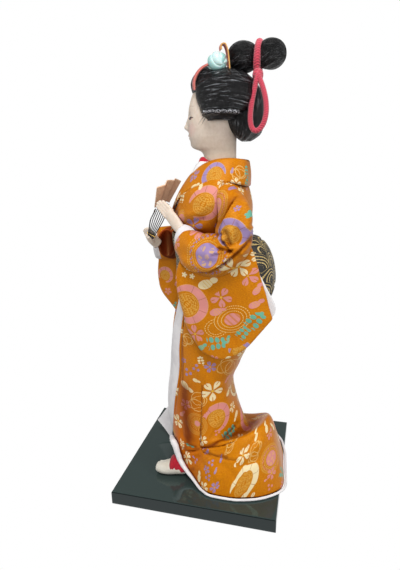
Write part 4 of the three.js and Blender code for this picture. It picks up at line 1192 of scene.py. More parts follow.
CURL = [[18.4, 275.6], [18.2, 280], [17.8, 284.6], [17.2, 288.8]]
CURL += [[16, 292], [14.6, 292.6], [13.4, 291.4], [13.6, 289.6]]
curl = strip([[0, y, z] for y, z in CURL], [6.4, -1.4, 0], [11, 0.6, 0], 0.7)
piece("hair_curl", [curl], ribbon("orange ribbon", "#c8421e", "#cf9440", 0.8))
FRONT_RIBBON = [[9, 6, 282.4], [9.6, 1.6, 280.4], [10.2, -1.6, 277], [10.6, -3.2, 272.6], [10.8, -2.8, 268.4]]
front_ribbon = strip(FRONT_RIBBON, [-1.3, -0.7, 0.5], [1.3, 1.2, 0], 1.0)
salmon = ribbon("salmon ribbon", "#a8352f", "#c9665a", 0.75)
piece("hair_ribbon", [front_ribbon], salmon)

# Glitter stuck along the lobes' lower edges
GLITTER_Z, GLITTER_RADIUS = 255.2, 0.85
GLITTER_FRONT, GLITTER_BACK = 0.75, 2.35


def crusted(a, t):
    """The uneven thickness of a crust of glitter."""
    return 1 + 0.42 * np.sin(t * 131 + 2 * a) * np.sin(t * 57 + 1) + 0.16 * np.sin(t * 260 - a)


beads = []
for angle in np.linspace(GLITTER_FRONT, GLITTER_BACK, 12):
    x, y = lobe_point(at(LOBE, GLITTER_Z)[0], angle)
    beads.append([x, y, GLITTER_Z - 0.5 * (angle - GLITTER_FRONT), GLITTER_RADIUS, GLITTER_RADIUS])
sparkle = glitter()
for side, name in ((1, "hair_glitter_left"), (-1, "hair_glitter_right")):
    piece(name, [closed(limb_grid(beads, 16, 140, crusted) * np.array([side, 1, 1]))], sparkle)

# Collars, from the nape round the left of the neck to the front: [top x, y, z, bottom x, y, z]
COLLAR = [
    [0, 29, 226, 0, 28.6, 211.5],
    [8.5, 26.4, 227.8, 13, 27.4, 212.5],
    [12.6, 18, 228.6, 19.5, 18.5, 214.5],
    [13, 8, 227.4, 20.5, 6, 214],
    [11, -1.5, 223, 17.5, -6.5, 209.5],
    [7, -10, 215.8, 13, -15.4, 203],
    [1, -17.2, 204.4, 7, -21.2, 194],
    [-5, -21.6, 193, 1, -22.8, 185],
    [-9, -19.2, 184, -3, -19.2, 177],
]


def collar(depth, front, end, thickness):
    """A collar set in by depth, its front part raised, as far along COLLAR as end on both sides."""
    s = np.linspace(0, 1, 180)
    k = np.abs(s - 0.5) * 2
    far = s > 0.5
    row = along(COLLAR, k * end)
    stand = front * bump(k * end, 0.53, 0.08)
    # At the front the doll's right side lies under its left side
    under = far * 2.2 * smooth(k * end, 0.58, 0.7) + 0.1 * stand

    def place(p, lift):
        inward = unit(np.stack([-p[:, 0], 10 - p[:, 1], 0 * p[:, 0]], -1)) * (depth + under)[:, None]
        q = p + inward + np.stack([0 * k, 0 * k, lift], -1)
        q[:, 0] = np.where(far, -q[:, 0], q[:, 0])
        return q

    top, bottom = place(row[:, :3], stand), place(row[:, 3:], 0 * k)
    t = np.linspace(0, 1, 12)[:, None, None]
    P = lerp(top[None], bottom[None], t)
    n = grid_normals(P, False)
    away = unit(P - np.array([0, 10, 0])) * np.array([1, 1, 0])
    n = n * np.sign((n * away).sum(-1, keepdims=True).mean())
    P = P + n * 0.7 * np.sin(t * math.pi) * min(1.0, thickness)
    high = np.linalg.norm(top - bottom, axis=1)
    uv = np.stack([np.broadcast_to(run(bottom)[None, :], P.shape[:2]), (1 - t[..., 0]) * high[None, :]], -1)
    return cloth(P, thickness, uv)


piece("inner_collar", [collar(3.6, 8, 0.54, 1.0)], RED)
piece("under_collar", [collar(1.9, 4.8, 0.66, 1.2)], WHITE)
collar_piece = piece("kimono_collar", [collar(0, 0, 0.985, 1.4)], BROCADE)

# Bodice: [z, centre y, half width, front depth, back depth]
BODICE = [
    [224, 14, 12, 12, 11],
    [219, 13.5, 18, 17, 14],
    [213, 13, 23.5, 24, 15.5],
    [206, 12, 27.5, 28.6, 18.5],
    [198, 11, 28, 30.5, 20.5],
    [188, 9.5, 25.6, 30.5, 21],
    [177, 8, 22, 25.5, 21],
    [163, 6, 19.5, 22, 19],
]
BODICE_FOLDS = [
    # [points y, z], width, height
    ([[-22, 196], [-12, 206], [2, 212]], 1.6, 0.9),
    ([[-24, 186], [-12, 194], [4, 198], [14, 206]], 2.4, 1.0),
    ([[-20, 178], [-8, 186], [8, 188]], 2.2, 0.8),
    ([[-20, 182], [-6, 190], [10, 194]], 1.6, -0.7),
]


def throat(row, angle):
    """The hollow at the front of the neckline."""
    off = np.arctan2(np.sin(angle), np.cos(angle))
    row[..., 3] -= 7 * bump(off, 0, 0.4) * smooth(row[..., 0], 196, 206)


def bodice_grid():
    P = column(BODICE, 230, 105, [0, 14, 224.4], [0, 6, 163], throat)
    push = pushed(P[..., 1:], BODICE_FOLDS) + ripple(P * np.array([1, 1, 0.6]), 22, 41) * 0.35
    angle = np.linspace(0, TAU, P.shape[1])[None, :]
    uv = np.stack([(angle - TAU / 4) * 25 + 0 * P[..., 0], P[..., 2]], -1)
    return P + outward(P) * push[..., None], uv


bodice = piece("kimono_bodice", [closed(*bodice_grid())], BROCADE)

# Sash, in rows like the bodice's, and drum bow
OBI = [
    [183, 8, 26, 30.5, 24],
    [176, 7.5, 25.4, 29.4, 23.5],
    [163, 6, 24, 26, 22.5],
    [150, 5, 23.6, 25.6, 22],
    [146, 5, 23.4, 25.4, 22],
]


def sash_grid():
    P = column(OBI, 180, 60, [0, 8, 183], [0, 5, 146])
    push = -0.9 * bump(P[..., 2], 164.5, 0.5) + ripple(P * np.array([0.5, 0.5, 1]), 14, 51) * 0.25
    push -= 0.8 * (smooth(P[..., 2], 181.5, 183) + smooth(-P[..., 2], -147.5, -146))
    angle = np.linspace(0, TAU, P.shape[1])[None, :]
    return P + outward(P) * push[..., None], np.stack([angle * 26 + 0 * P[..., 0], P[..., 2]], -1)


piece("obi_band", [closed(*sash_grid())], SASH)

# Half width, half depth and half height of the drum bow, and its middle
DRUM, DRUM_Y, DRUM_Z = (19, 10, 21.5), 36.4, 158.5


def drum_grid():
    """The bow: a squarish cushion that leans back, with two grooves across its rear."""
    a = np.linspace(0, TAU, 141)[None, :]
    b = np.linspace(0, math.pi, 111)[:, None]
    x = DRUM[0] * signed_power(np.sin(b) * np.sin(a), 0.6)
    y = -DRUM[1] * signed_power(np.sin(b) * np.cos(a), 0.8)
    z = DRUM[2] * signed_power(np.cos(b) + 0 * a, 0.9)
    bend = 2.4 * (z / DRUM[2]) ** 2 * np.where(z > 0, 1, 0.3)
    P = np.stack([x, DRUM_Y + y - 0.17 * z - bend, DRUM_Z + z], -1)
    grooves = 1.3 * bump(P[..., 2] + 0.02 * x**2, 146.5, 0.9) + 0.9 * bump(P[..., 2], 176.5, 0.8)
    push = -grooves * smooth(y, 1, 4)
    push[[0, -1]] = 0
    return P + outward(P) * push[..., None], np.stack([x + 40, P[..., 2]], -1)


piece("obi_knot", [closed(*drum_grid())], SASH)

# Sleeves: [x, y, z, half width, half height]
LEFT_UPPER = [
    [14, 16, 211, 6.5, 5],
    [21, 19.4, 206.6, 8, 6.8],
    [26.5, 23.4, 201, 9.6, 8.6],
    [30.5, 25.6, 194.5, 10, 10],
    [32, 25.4, 188, 9.8, 11.6],
    [31.6, 27.4, 182, 8, 9.6],
]
LEFT_FORE = [
    [31, 31, 184.5, 6, 6],
    [32, 26, 178.5, 8.6, 9.6],
    [32, 16, 173, 10, 12.8],
    [30.4, 5.2, 172.8, 9.4, 13],
    [28, -2.6, 176.4, 8, 11],
    [25.6, -7.6, 179.4, 6.8, 8.8],
]
RIGHT_UPPER = [
    [-14, 15, 211, 6.5, 5],
    [-20, 15, 206.6, 8.5, 7],
    [-26, 13, 202, 10, 9.5],
    [-31, 9, 194, 10, 12],
    [-33, 4, 186, 9.6, 12],
    [-33, -1, 180, 8, 9.5],
]
RIGHT_FORE = [
    [-33, 4, 183, 6.5, 8],
    [-33.5, -6, 176, 8.6, 12],
    [-31, -18, 172, 9, 13],
    [-26, -29, 170, 8.4, 13.2],
    [-20.5, -39.5, 170, 7.2, 12.5],
]
# The hollow of the right sleeve's mouth, on the side towards the body
RIGHT_MOUTH, RIGHT_MOUTH_RADII = [-14.5, -32.8, 170], [7, 5.4, 11.5]


def hanging(front, back, low, place, thick, across=90, down=80):
    """The hanging part of a sleeve: a flat bag between a front and a back edge, rounded at the low corner."""
    s = np.linspace(0, 1, across)[None, :]
    t = np.linspace(0, 1, down)[:, None]
    f, b, l = along(front, t[:, 0])[:, None], along(back, t[:, 0])[:, None], along(low, s[0])[None]
    end = lerp(np.array(front[-1], float), np.array(back[-1], float), s[..., None])
    yz = lerp(f, b, s[..., None]) + (l - end) * (t**3)[..., None]
    x, half = place(s, t)
    swell = thick + half * np.sqrt(np.maximum(0, 1 - (2 * s - 1) ** 2)) * (1 - 0.4 * t * t)
    outer = np.stack([x + swell, yz[..., 0], yz[..., 1]], -1)
    inner = np.stack([x - swell, yz[..., 0], yz[..., 1]], -1)
    return two_sided(outer, inner)


LEFT_FRONT = [[-8, 172], [-12.4, 160], [-11.8, 148], [-8.6, 133], [-5.6, 122], [-0.5, 112.5]]
LEFT_BACK = [[31, 184], [35.5, 175], [39.2, 163], [42.4, 152], [45.4, 141.5], [48.3, 131.6]]
LEFT_LOW = [[-0.5, 112.5], [5, 106.6], [17, 103.2], [30, 110], [40, 121], [48.3, 131.6]]
RIGHT_FRONT = [[-36, 178], [-42.6, 168], [-45.6, 152], [-46, 138], [-42.5, 128], [-34, 116.5]]
RIGHT_BACK = [[4, 180], [8, 170], [11, 158], [13.5, 148], [16, 138], [18, 129]]
RIGHT_LOW = [[-34, 116.5], [-28, 111], [-16, 106], [-4, 110], [8, 119], [18, 129]]
LEFT_FOLDS = [
    # [points y, z], width, height
    ([[11.5, 179.8], [15.5, 182.7], [19.5, 184.2], [23, 183]], 1.5, 1.3),
    ([[15.7, 178.6], [19.9, 177.6], [23.9, 176.5], [26.7, 177.6]], 1.1, -2.6),
    ([[13, 182.5], [17, 185.6], [22, 186.4]], 1.0, -1.3),
    ([[24, 192], [25.5, 186], [26, 179.5]], 1.6, 1.2),
    ([[20.5, 190], [22.5, 184], [25, 178.5]], 1.1, -1.6),
    ([[28.5, 195], [28.6, 188], [27, 179.5]], 1.2, -1.2),
    ([[29, 174], [33, 179], [35, 182]], 2.0, 1.0),
    ([[-10, 172], [-2, 168], [8, 166.5], [18, 168]], 2.4, 0.9),
    ([[-6, 180], [4, 176], [12, 173.5], [20, 173.6]], 2.6, 0.8),
    ([[8, 186], [10, 178], [14, 170]], 2.2, 0.6),
    ([[30, 206], [35, 199], [36.5, 190]], 2.2, 0.9),
    ([[22, 207], [19, 199], [15, 192]], 1.8, 0.8),
]
UNDER_ELBOW = [
    [-11.5, 174.7],
    [-7.5, 167.5],
    [1.5, 162.4],
    [11.7, 164],
    [20.8, 169.4],
    [29.3, 177],
    [32.6, 180.2],
    [35.4, 185.4],
]
LEFT_TUCKS = [
    # [points y, z] with the high cloth on the left, width, height
    (UNDER_ELBOW, 1.6, 2.1),
    ([[27, 208.4], [25.3, 204.3], [23.5, 200.6], [21.3, 196.2], [19.2, 191.6], [18, 186]], 1.5, 2.3),
    ([[18.2, 190.1], [19, 184.8], [21.3, 181.1], [24.4, 177], [27, 175]], 1.1, 1.8),
    ([[12.2, 174], [18, 175.4], [21.3, 176.1], [24.6, 176.9], [28, 178.6]], 1.4, 0.8),
]
LEFT_DRAPE = [
    ([[4, 152], [2, 138], [4, 118]], 4.5, 0.7),
    ([[18, 150], [20, 134], [22, 112]], 5.0, -0.7),
    ([[31, 168], [34, 148], [36, 126]], 4.5, 0.8),
    ([[-9, 158], [-7, 140], [-2, 118]], 2.0, 0.6),
]
RIGHT_FOLDS = [
    ([[-8, 186], [2, 192], [14, 198]], 1.8, -1.2),
    ([[-14, 182], [-4, 186], [6, 190]], 2.2, 1.2),
    ([[-30, 176], [-16, 174], [0, 180]], 2.4, 1.1),
    ([[-34, 164], [-18, 160], [-2, 168]], 2.6, 1.1),
    ([[-38, 158], [-34, 140], [-28, 118]], 3.5, 0.8),
    ([[-8, 156], [-4, 138], [0, 116]], 4.5, 0.8),
]
RIGHT_TUCKS = [
    ([[-34, 170], [-24, 160], [-12, 158], [0, 166], [8, 178]], 2.2, 1.3),
    ([[8, 204], [2, 196], [-6, 188]], 1.8, 1.0),
]


# On the sleeves' UV maps: how far along the right one's motifs lie, and the slant of the pattern from BAG_X
RIGHT_SHIFT, SLANT, BAG_X = 200, 0.35, 30


def sleeve(name, upper, fore, bag, folds, tucks, x_side):
    """A sleeve: upper arm, forearm and hanging bag in one skin, its folds on the outer side."""
    parts = [closed(limb_grid(upper, 60, 60)), closed(limb_grid(fore, 60, 70)), bag]
    V, N, faces = fused(parts, voxel=0.64, relax=4, strength=0.6)
    if x_side < 0:
        # The mouth of the right sleeve is a hollow
        local = (V - RIGHT_MOUTH) / RIGHT_MOUTH_RADII
        reach = 1 - local[:, 1] ** 2 - local[:, 2] ** 2
        floor_x = RIGHT_MOUTH[0] - RIGHT_MOUTH_RADII[0] * np.sqrt(np.maximum(reach, 0))
        inside = (reach > 0) & (N[:, 0] > 0) & (V[:, 0] > floor_x)
        V[inside, 0] = floor_x[inside]
    outer = smooth(N[:, 0] * x_side, -0.2, 0.5)
    push = (pushed(V[:, 1:], folds) + pushed(V[:, 1:], tucks, tuck)) * outer + ripple(V, 16, 61) * 0.3
    V = V + N * push[:, None]
    V[:, 2] = np.maximum(V[:, 2], 11)
    shift = RIGHT_SHIFT * (x_side < 0)
    where = lambda p: np.stack([p[:, 1] + shift + SLANT * (p[:, 0] - BAG_X * x_side), p[:, 2]], -1)
    return piece(name, [wrapped(V, faces, where)], BROCADE)


left_bag = hanging(LEFT_FRONT, LEFT_BACK, LEFT_LOW, lambda s, t: (lerp(30, 28, t) - 3 * s * s, 2.4), 0.9)
right_bag = hanging(RIGHT_FRONT, RIGHT_BACK, RIGHT_LOW, lambda s, t: (lerp(-29, -31, t) + 0 * s, 2.2), 0.9)
sleeve_left = sleeve("sleeve_left", LEFT_UPPER, LEFT_FORE, left_bag, LEFT_FOLDS + LEFT_DRAPE, LEFT_TUCKS, 1)
sleeve_right = sleeve("sleeve_right", RIGHT_UPPER, RIGHT_FORE, right_bag, RIGHT_FOLDS, RIGHT_TUCKS, -1)

# Cuffs: the white cloth folded back at the wrists
def cuff(name, stations):
    P = limb_grid(stations, 60, 40, lambda a, t: 1 + 0.05 * np.sin(a * 3 + 1) * t)
    piece(name, [closed(P)], WHITE)


cuff("cuff_left", [[27.4, -3, 177.9, 6.6, 7.8], [25, -7, 180.8, 6, 8.4], [23.4, -10.2, 182, 5, 8.2]])
cuff("cuff_right", [[-19, -39.8, 164.6, 3, 6.4], [-17.8, -41.4, 164, 3, 6.2], [-16.8, -42.6, 163.6, 2.4, 5]])
LINING_BACK = [[33, 172], [37, 164], [41.4, 156], [45.2, 149], [48.6, 142.6], [50, 138.4]]
LINING_FRONT = [[22, 170], [24, 162], [26, 154], [28, 147], [30, 141], [34, 134]]
LINING_LOW = [[34, 136], [38, 132], [42, 130], [46, 131], [49, 134.5], [50, 138.4]]


def lining(name, shift, x, half, thick):
    rows = [[[y + shift, z] for y, z in table] for table in (LINING_FRONT, LINING_BACK, LINING_LOW)]
    part = hanging(*rows, lambda s, t: (x + 0.5 * np.sin(s * 5 + t * 2), half), thick, 40, 50)
    piece(name, [part], WHITE)


lining("sleeve_lining_left", 0, 24.2, 0.8, 0.6)
lining("sleeve_lining_right", -31, -25.2, 0.4, 0.5)


# Hands
def finger_grids(root, tip, spread, radius, count):
    grids = []
    for i in range(count):
        k = i - (count - 1) / 2
        length = [0.9, 1, 0.97, 0.84][i]
        a = np.array(root) + np.array(spread) * k
        b = lerp(np.array(root, float), np.array(tip, float), length) + np.array(spread) * k * 0.86
        c = (a + b) / 2
        grids.append(limb_grid([[*p, r, r] for p, r in zip((a, c, b), radius)], 20, 24))
    return grids


LEFT_PALM = [
    [24.4, -6.4, 181.4, 2.8, 3.8],
    [22, -11, 186.4, 2.3, 3.8],
    [19.4, -16.4, 192.4, 2.1, 4],
    [17.6, -20.2, 196.4, 1.8, 3.6],
]
LEFT_THUMB = [[18.6, -16, 187.8, 1.5, 1.5], [16.2, -19.2, 191, 1.35, 1.35], [14.2, -22.2, 194.4, 1, 1]]
RIGHT_PALM = [[-14.5, -40, 170.5, 2.8, 3.8], [-10.5, -42.3, 175, 2.6, 3.8], [-8.5, -43.6, 178.6, 2, 3.4]]
RIGHT_THUMB = [[-8, -40.5, 172.6, 1.4, 1.4], [-5.2, -41.6, 174.8, 1.3, 1.3], [-3.2, -42.4, 177, 1, 1]]


def hand(name, limbs):
    V, N, faces = fused([closed(P) for P in limbs], voxel=0.34, relax=4, strength=0.5)
    piece(name, [wrapped(V, faces, lambda p: p[:, 1:])], SKIN)


left_fingers = finger_grids([18, -19.2, 195.4], [15.2, -27.2, 203], [0, 1.35, 1.25], [1.35, 1.3, 1.05], 4)
right_fingers = finger_grids([-8.6, -43.4, 178], [-6.5, -45.2, 182.8], [0.3, 1.4, 0.7], [1.35, 1.25, 1.05], 4)
hand("hand_left", [limb_grid(LEFT_PALM, 40, 40), *left_fingers, limb_grid(LEFT_THUMB, 20, 24)])
hand("hand_right", [limb_grid(RIGHT_PALM, 40, 40), *right_fingers, limb_grid(RIGHT_THUMB, 20, 24)])

# Feet: a sock with a parted toe
LEFT_FOOT = [
    [27, -12, 15, 4.4, 4.2],
    [28, -19.5, 15.6, 5.4, 5.2],
    [28.4, -26, 14.4, 5.6, 4.4],
    [27.6, -30.6, 13.8, 4.8, 3.6],
]


def foot(name, stations):
    P = limb_grid(stations, 90, 70, lambda a, t: 1 - 0.3 * bump(a / TAU, 0.3, 0.028) * smooth(t, 0.5, 0.8))
    P[..., 2] = np.maximum(P[..., 2], FLOOR)
    piece(name, [closed(P)], SOCK)


foot("foot_left", LEFT_FOOT)
foot("foot_right", [[x - 25, y + 9, z, w, h] for x, y, z, w, h in LEFT_FOOT])

# Under robe, seen at the open front
CORE = [
    [145, 3, 19.5, 20, 20],
    [129, 3, 20, 24, 21],
    [112, 3, 20.4, 28, 22],
    [98, 3, 20.4, 29.8, 19],
    [80, 2, 20, 30, 14],
    [66, 1.5, 20, 31.4, 12],
    [52, 1.5, 20.4, 32.2, 12],
    [40, 1.5, 21, 31.4, 14],
    [25, 2, 22.4, 27.4, 16],
]


def core_grid():
    P = column(CORE, 130, 70, [0, 3, 145], [0, 3, 25])
    sway = P[..., 0] + (P[..., 2] - 80) * 0.05
    push = 0.45 * np.sin(sway * 0.55 + 1) * smooth(-P[..., 2], -130, -60)
    push += ripple(P * np.array([1, 1, 0.25]), 12, 71) * 0.25
    push[[0, -1]] = 0
    return P + outward(P) * push[..., None]


piece("under_robe", [closed(core_grid())], WHITE)

# Skirt and train: the column by height, then by bearing from the front towards the left
COLUMN = [
    [145, 4, 22.8, 22.8, 23],
    [129, 4, 23.6, 27.2, 25.5],
    [105, 4, 24, 32, 26],
    [90, 3.5, 23.6, 32.7, 20.5],
    [71, 2.5, 23.4, 33.9, 16.2],
]
TRAIN = [
    # [degrees, hem x, y, z, ridge x, y, z, valley x, y, z]
    [0, 0, -29, 26, 0, -31.2, 36, 0, -32.6, 50],
    [24, 16, -22.4, 29.4, 15, -24, 38, 14, -24.6, 50],
    [44, 24.7, -16.7, 30, 22.8, -16.6, 38, 21, -16.4, 50],
    [62, 27.8, -12.4, 19.8, 26.4, -10, 33, 24, -9.4, 48],
    [77, 33.8, -3.5, 13, 28.8, -2.6, 31, 25.4, -3, 45],
    [91, 43.2, 7.5, FLOOR, 31, 5, 34, 26, 4, 44],
    [108, 45, 19.2, FLOOR, 31, 16.5, 41, 24, 13, 43],
    [122, 44.2, 31, FLOOR, 30, 28.5, 46.5, 19.5, 20, 40],
    [137, 39.4, 44.8, FLOOR, 24.5, 38.4, 51, 13.5, 26, 38.5],
    [150, 31, 55.4, FLOOR, 17.5, 43.5, 53, 8.5, 29, 38],
    [160, 23.6, 58.6, FLOOR, 10, 45.5, 53, 4.5, 30.5, 38],
    [175, 7, 57.4, FLOOR, 2, 45.5, 50.6, 0.5, 31.5, 38],
    [195, -14, 55.4, FLOOR, -11, 41.5, 44, -6, 30, 37],
    [212, -32, 49, FLOOR, -21, 33, 36, -13, 25, 36],
    [235, -40, 32, FLOOR, -29, 21, 30, -20.5, 16, 37],
    [260, -38, 12, FLOOR, -29, 7, 28, -24.5, 6, 42],
    [285, -35, -2, FLOOR, -28, -4, 28, -24.5, -5, 44],
    [310, -30, -14, FLOOR, -24, -13, 28, -21.5, -13, 46],
    [335, -17, -27, 16, -15, -28, 32, -14, -28.6, 50],
    [360, 0, -29, 26, 0, -31.2, 36, 0, -32.6, 50],
]


def skirt_points(degrees, t):
    """The skirt's surface at bearings (first axis of the result is t)."""
    row = at(TRAIN, degrees)
    hem, ridge, valley = row[:, 1:4], row[:, 4:7], row[:, 7:10]
    angle = np.radians(degrees)
    hips = [girth(np.broadcast_to(np.array(r, float), (len(degrees), 5)), angle) for r in COLUMN]
    slope = lerp(ridge, hem, np.array([0.62, 0.62, 0.45]))
    P = along(np.stack([*hips, valley, ridge, slope, hem]), t)
    P[..., 2] = np.maximum(P[..., 2], FLOOR)
    return P


SKIRT_FOLDS = [
    # [points y, z], width, height
    ([[-13.6, 33.4], [-7, 33.4], [-0.5, 34]], 0.9, -1.0),
    ([[-13, 30.6], [-7, 31.6], [-1, 33]], 0.9, 0.7),
    ([[-12.4, 27.7], [-6.6, 30], [-0.8, 32.3]], 1.0, -1.0),
    ([[-11.4, 24.4], [-5.6, 28], [0, 31.6]], 1.2, 0.8),
    ([[-8, 20.5], [-2.5, 25.6], [1.4, 31.2]], 1.4, -0.8),
    ([[0.8, 33.6], [1.6, 35.2]], 1.8, -1.2),
    ([[29, 36.4], [31, 40.4], [36, 45], [42.7, 50]], 2.0, -0.9),
    ([[28, 33], [33, 38], [40, 43], [47, 47]], 2.2, 0.7),
    ([[27, 30], [36, 33], [46, 37]], 2.4, -0.7),
    ([[6, 31], [12, 27], [18, 20]], 2.6, 0.7),
    ([[2, 29], [6, 23], [9, 15]], 2.2, -0.6),
    ([[14, 32], [22, 29], [30, 22]], 2.6, -0.6),
    ([[16, 58], [8, 48], [3, 38]], 2.4, 0.6),
    ([[-14, 60], [-8, 48], [-2, 38]], 2.2, 0.5),
    ([[-17, 52], [-14, 44], [-13, 36]], 1.8, -0.7),
    ([[12, 82], [16, 74], [18, 66]], 3.0, 0.6),
    ([[-6, 100], [4, 84], [10, 72]], 3.6, 0.5),
]
SKIRT_TUCKS = [
    # [points y, z] with the high cloth on the left, width, height
    ([[1.4, 77.5], [1.3, 61.5], [0.6, 46.7], [0.6, 35.2]], 1.3, 1.0),
    ([[26, 45.2], [20, 42], [15.4, 39.6], [10, 37.6], [5.2, 35.6], [0.8, 34.6]], 1.6, 1.3),
    ([[1.2, 33.2], [6, 33.3], [12.4, 34.4], [21.8, 34.7], [29, 35.6]], 1.5, 0.9),
]
SKIRT_THICKNESS = 1.4


def skirt_grid(across=225, down=178):
    """The skirt's middle surface, open at the front between two edges, and its UVs."""
    t = np.linspace(0, 1, down)
    dense, step = np.linspace(0, 360, 721, retstep=True)
    P = skirt_points(dense, t)
    z = P[..., 2]
    # The x of the opening's two edges, and the bearings where the surface meets them
    left_line = lerp(15.5, 19.1, smooth(z, 20, 100))
    right_line = lerp(-16, -2, smooth(z, 10, 135))
    start, stop = np.empty(down), np.empty(down)
    for i in range(down):
        f = P[i, :, 0] - left_line[i]
        k = np.argmax(f > 0)
        start[i] = dense[k] - step * f[k] / max(f[k] - f[k - 1], 1e-9)
        g = right_line[i] - P[i, :, 0]
        k = len(dense) - 1 - np.argmax(g[::-1] > 0)
        stop[i] = dense[k] + step * g[k] / max(g[k] - g[k + 1], 1e-9)
    bearings = np.linspace(start, stop, across, axis=1)
    P = np.stack([skirt_points(bearings[i], t[i : i + 1])[0] for i in range(down)])
    n = outward(P, False, [0, 8, 80])
    near = smooth(n[..., 0], 0.05, 0.45)
    push = (pushed(P[..., 1:], SKIRT_FOLDS) + pushed(P[..., 1:], SKIRT_TUCKS, tuck, ends=0.08)) * near
    push -= 1.5 * bump(run(P, 1), 1.5, 0.5) * smooth(P[..., 2], 44, 66)
    push += ripple(P * np.array([1, 1, 0.35]), 20, 81) * 0.35 * smooth(P[..., 2], 12, 30)
    P = P + n * (push - SKIRT_THICKNESS / 2)[..., None]
    P[..., 2] = np.maximum(P[..., 2], FLOOR + SKIRT_THICKNESS / 2)
    length = run(P, 1)
    middle = np.array([np.interp(90, row, l) for row, l in zip(bearings, length)])
    return P, np.stack([length - middle[:, None], COLUMN[0][0] - run(P)], -1)


skirt_P, skirt_uv = skirt_grid()
skirt = piece("kimono_skirt", [cloth(skirt_P, SKIRT_THICKNESS, skirt_uv)], BROCADE)

# Padded hem, stout at the front and slender along the train: [bearing in degrees, radius]
HEM_ROLL = [[22, 1.6], [38, 2.2], [50, 2.1], [62, 1.8], [77, 1.15], [91, 0.85]]
HEM_ROLL += [[200, 0.9], [290, 1.1], [336, 1.5]]
hem_rows = []
for degrees in range(22, 337, 8):
    x, y, z = at(TRAIN, degrees)[0, 1:4]
    roll = at(HEM_ROLL, degrees)[0, 1]
    out = np.array([x - 2, y - 12]) / math.hypot(x - 2, y - 12) * (roll + 0.3)
    hem_rows.append([x + out[0], y + out[1], max(z, FLOOR) + roll, roll, roll])
hem = limb_grid(hem_rows, 18, 480, lambda a, t: 1 + 0.05 * np.sin(t * 260 + np.sin(a)) * np.sin(t * 37))
piece("hem_roll", [closed(hem)], WHITE)

# White lower corner of the far front edge, turned out
FLAP_THICKNESS = 1.4
FLAP_EDGE = [[-12, -30.4, 47], [-14.4, -37, 37], [-16.4, -42.8, 28.6], [-18, -47.8, 21.6]]
FLAP_ROOT = [[-11, -28, 48], [-11.4, -29, 38], [-11, -31, 26], [-9.4, -33.4, 12]]
t = np.linspace(0, 1, 70)
s = np.linspace(0, 1, 50)[None, :, None]
flap = lerp(along(FLAP_ROOT, t)[:, None], along(FLAP_EDGE, t)[:, None], s)
flap[..., 0] += 0.7 * np.sin(s[..., 0] * 3.1) * np.sin(t * 5)[:, None]
piece("front_flap", [cloth(flap, FLAP_THICKNESS)], WHITE)

# Red wrap: a pleated band round both ankles, and a sleeve over the left one
RED_X, RED_TOP, RED_BOTTOM = 11, 24.4, 13.6


def red_grid():
    def place(angle, t):
        z = lerp(RED_TOP, RED_BOTTOM, t)
        return girth(np.stack([z, *(k + 0 * z for k in (-1, 15, 16, 13))], -1), angle, RED_X)

    P = rings(place, 140, 28, [RED_X, -1, RED_TOP], [RED_X, -1, RED_BOTTOM])
    angle = np.linspace(0, TAU, P.shape[1])
    wave = 0.5 * np.sin(angle * 17)
    P[1:-1, :, 0] += (np.sin(angle) * wave)[None]
    P[1:-1, :, 1] -= (np.cos(angle) * wave)[None]
    return P


ANKLE = [
    [25, -6.6, 16.4, 5, 3.6],
    [27, -13.6, 16, 5, 4.4],
    [27.4, -18.4, 17.2, 5.5, 5.8],
    [27.6, -20.4, 17.6, 5.9, 6.6],
]
ankle = limb_grid(ANKLE, 80, 50, lambda a, t: 1 + 0.03 * np.sin(t * 26 + 2 * a))
piece("red_underskirt", [closed(red_grid()), closed(ankle)], RED)

# Fan
PIVOT = np.array([-5, -40.9, 178.4])
LEAF_LEFT = np.array([16, -27, 209.0])
LEAF_RIGHT = np.array([-19, -21.6, 213.6])
FAN_AXIS, FAN_END = unit(LEAF_LEFT - PIVOT), unit(LEAF_RIGHT - PIVOT)
FAN_NORMAL = unit(np.cross(FAN_AXIS, FAN_END))
FAN_SIDE = np.cross(FAN_NORMAL, FAN_AXIS)
FAN_SPREAD = math.acos(FAN_AXIS @ FAN_END)
LEAF_OUTER, LEAF_INNER, LEAF_THICKNESS, PLEATS = 43, 26, 0.6, 3
STICK_START, STICK_END, STICK_COUNT, STICK_GAP = -2.6, 25.4, 7, 0.8


def fan_point(k, r, offset):
    """A point at the share k of the fan's spread, at a radius, and so far in front of the fan's plane."""
    a = k * FAN_SPREAD
    ray = np.cos(a)[..., None] * FAN_AXIS + np.sin(a)[..., None] * FAN_SIDE
    return PIVOT + ray * r[..., None] + FAN_NORMAL * offset[..., None]


s = np.linspace(0, 1, 201)[None, :]
t = np.linspace(0, 1, 24)[:, None]
pleat = (np.abs(((s * PLEATS) % 1) - 0.5) * 4 - 1) * 1.1 * (1 - 0.4 * t)
leaf = fan_point(s + 0 * t, lerp(LEAF_OUTER, LEAF_INNER, t) + 0 * s, pleat)
piece("fan_leaf", [cloth(leaf, LEAF_THICKNESS)], fan_paper())


def stick_grid(index):
    """A stick of the fan. The first and the last are guards, which widen towards the leaf."""
    k, middle = index / (STICK_COUNT - 1), ((STICK_COUNT - 1) / 2 - index) * STICK_GAP
    guard = index in (0, STICK_COUNT - 1)
    t = np.linspace(0, 1, 40)[:, None]
    a = np.linspace(0, TAU, 25)[None, :]
    ray = fan_point(np.full(1, k), np.ones(1), np.zeros(1))[0] - PIVOT
    across = np.cross(ray, FAN_NORMAL)
    wide = lerp(0.75, 1.9 if guard else 0.65, t) / 2 * (1 + 0.1 * np.sin(t * 9 + index))
    offset = middle * (1 - smooth(t, 0.5, 1)) + 0.28 * signed_power(np.sin(a), 0.6)
    P = fan_point(k + 0 * offset, lerp(STICK_START, STICK_END, t) + 0 * offset, offset)
    P = P + across * (wide * signed_power(np.cos(a), 0.6))[..., None]
    P[0], P[-1] = P[0].mean(0), P[-1].mean(0)
    return P


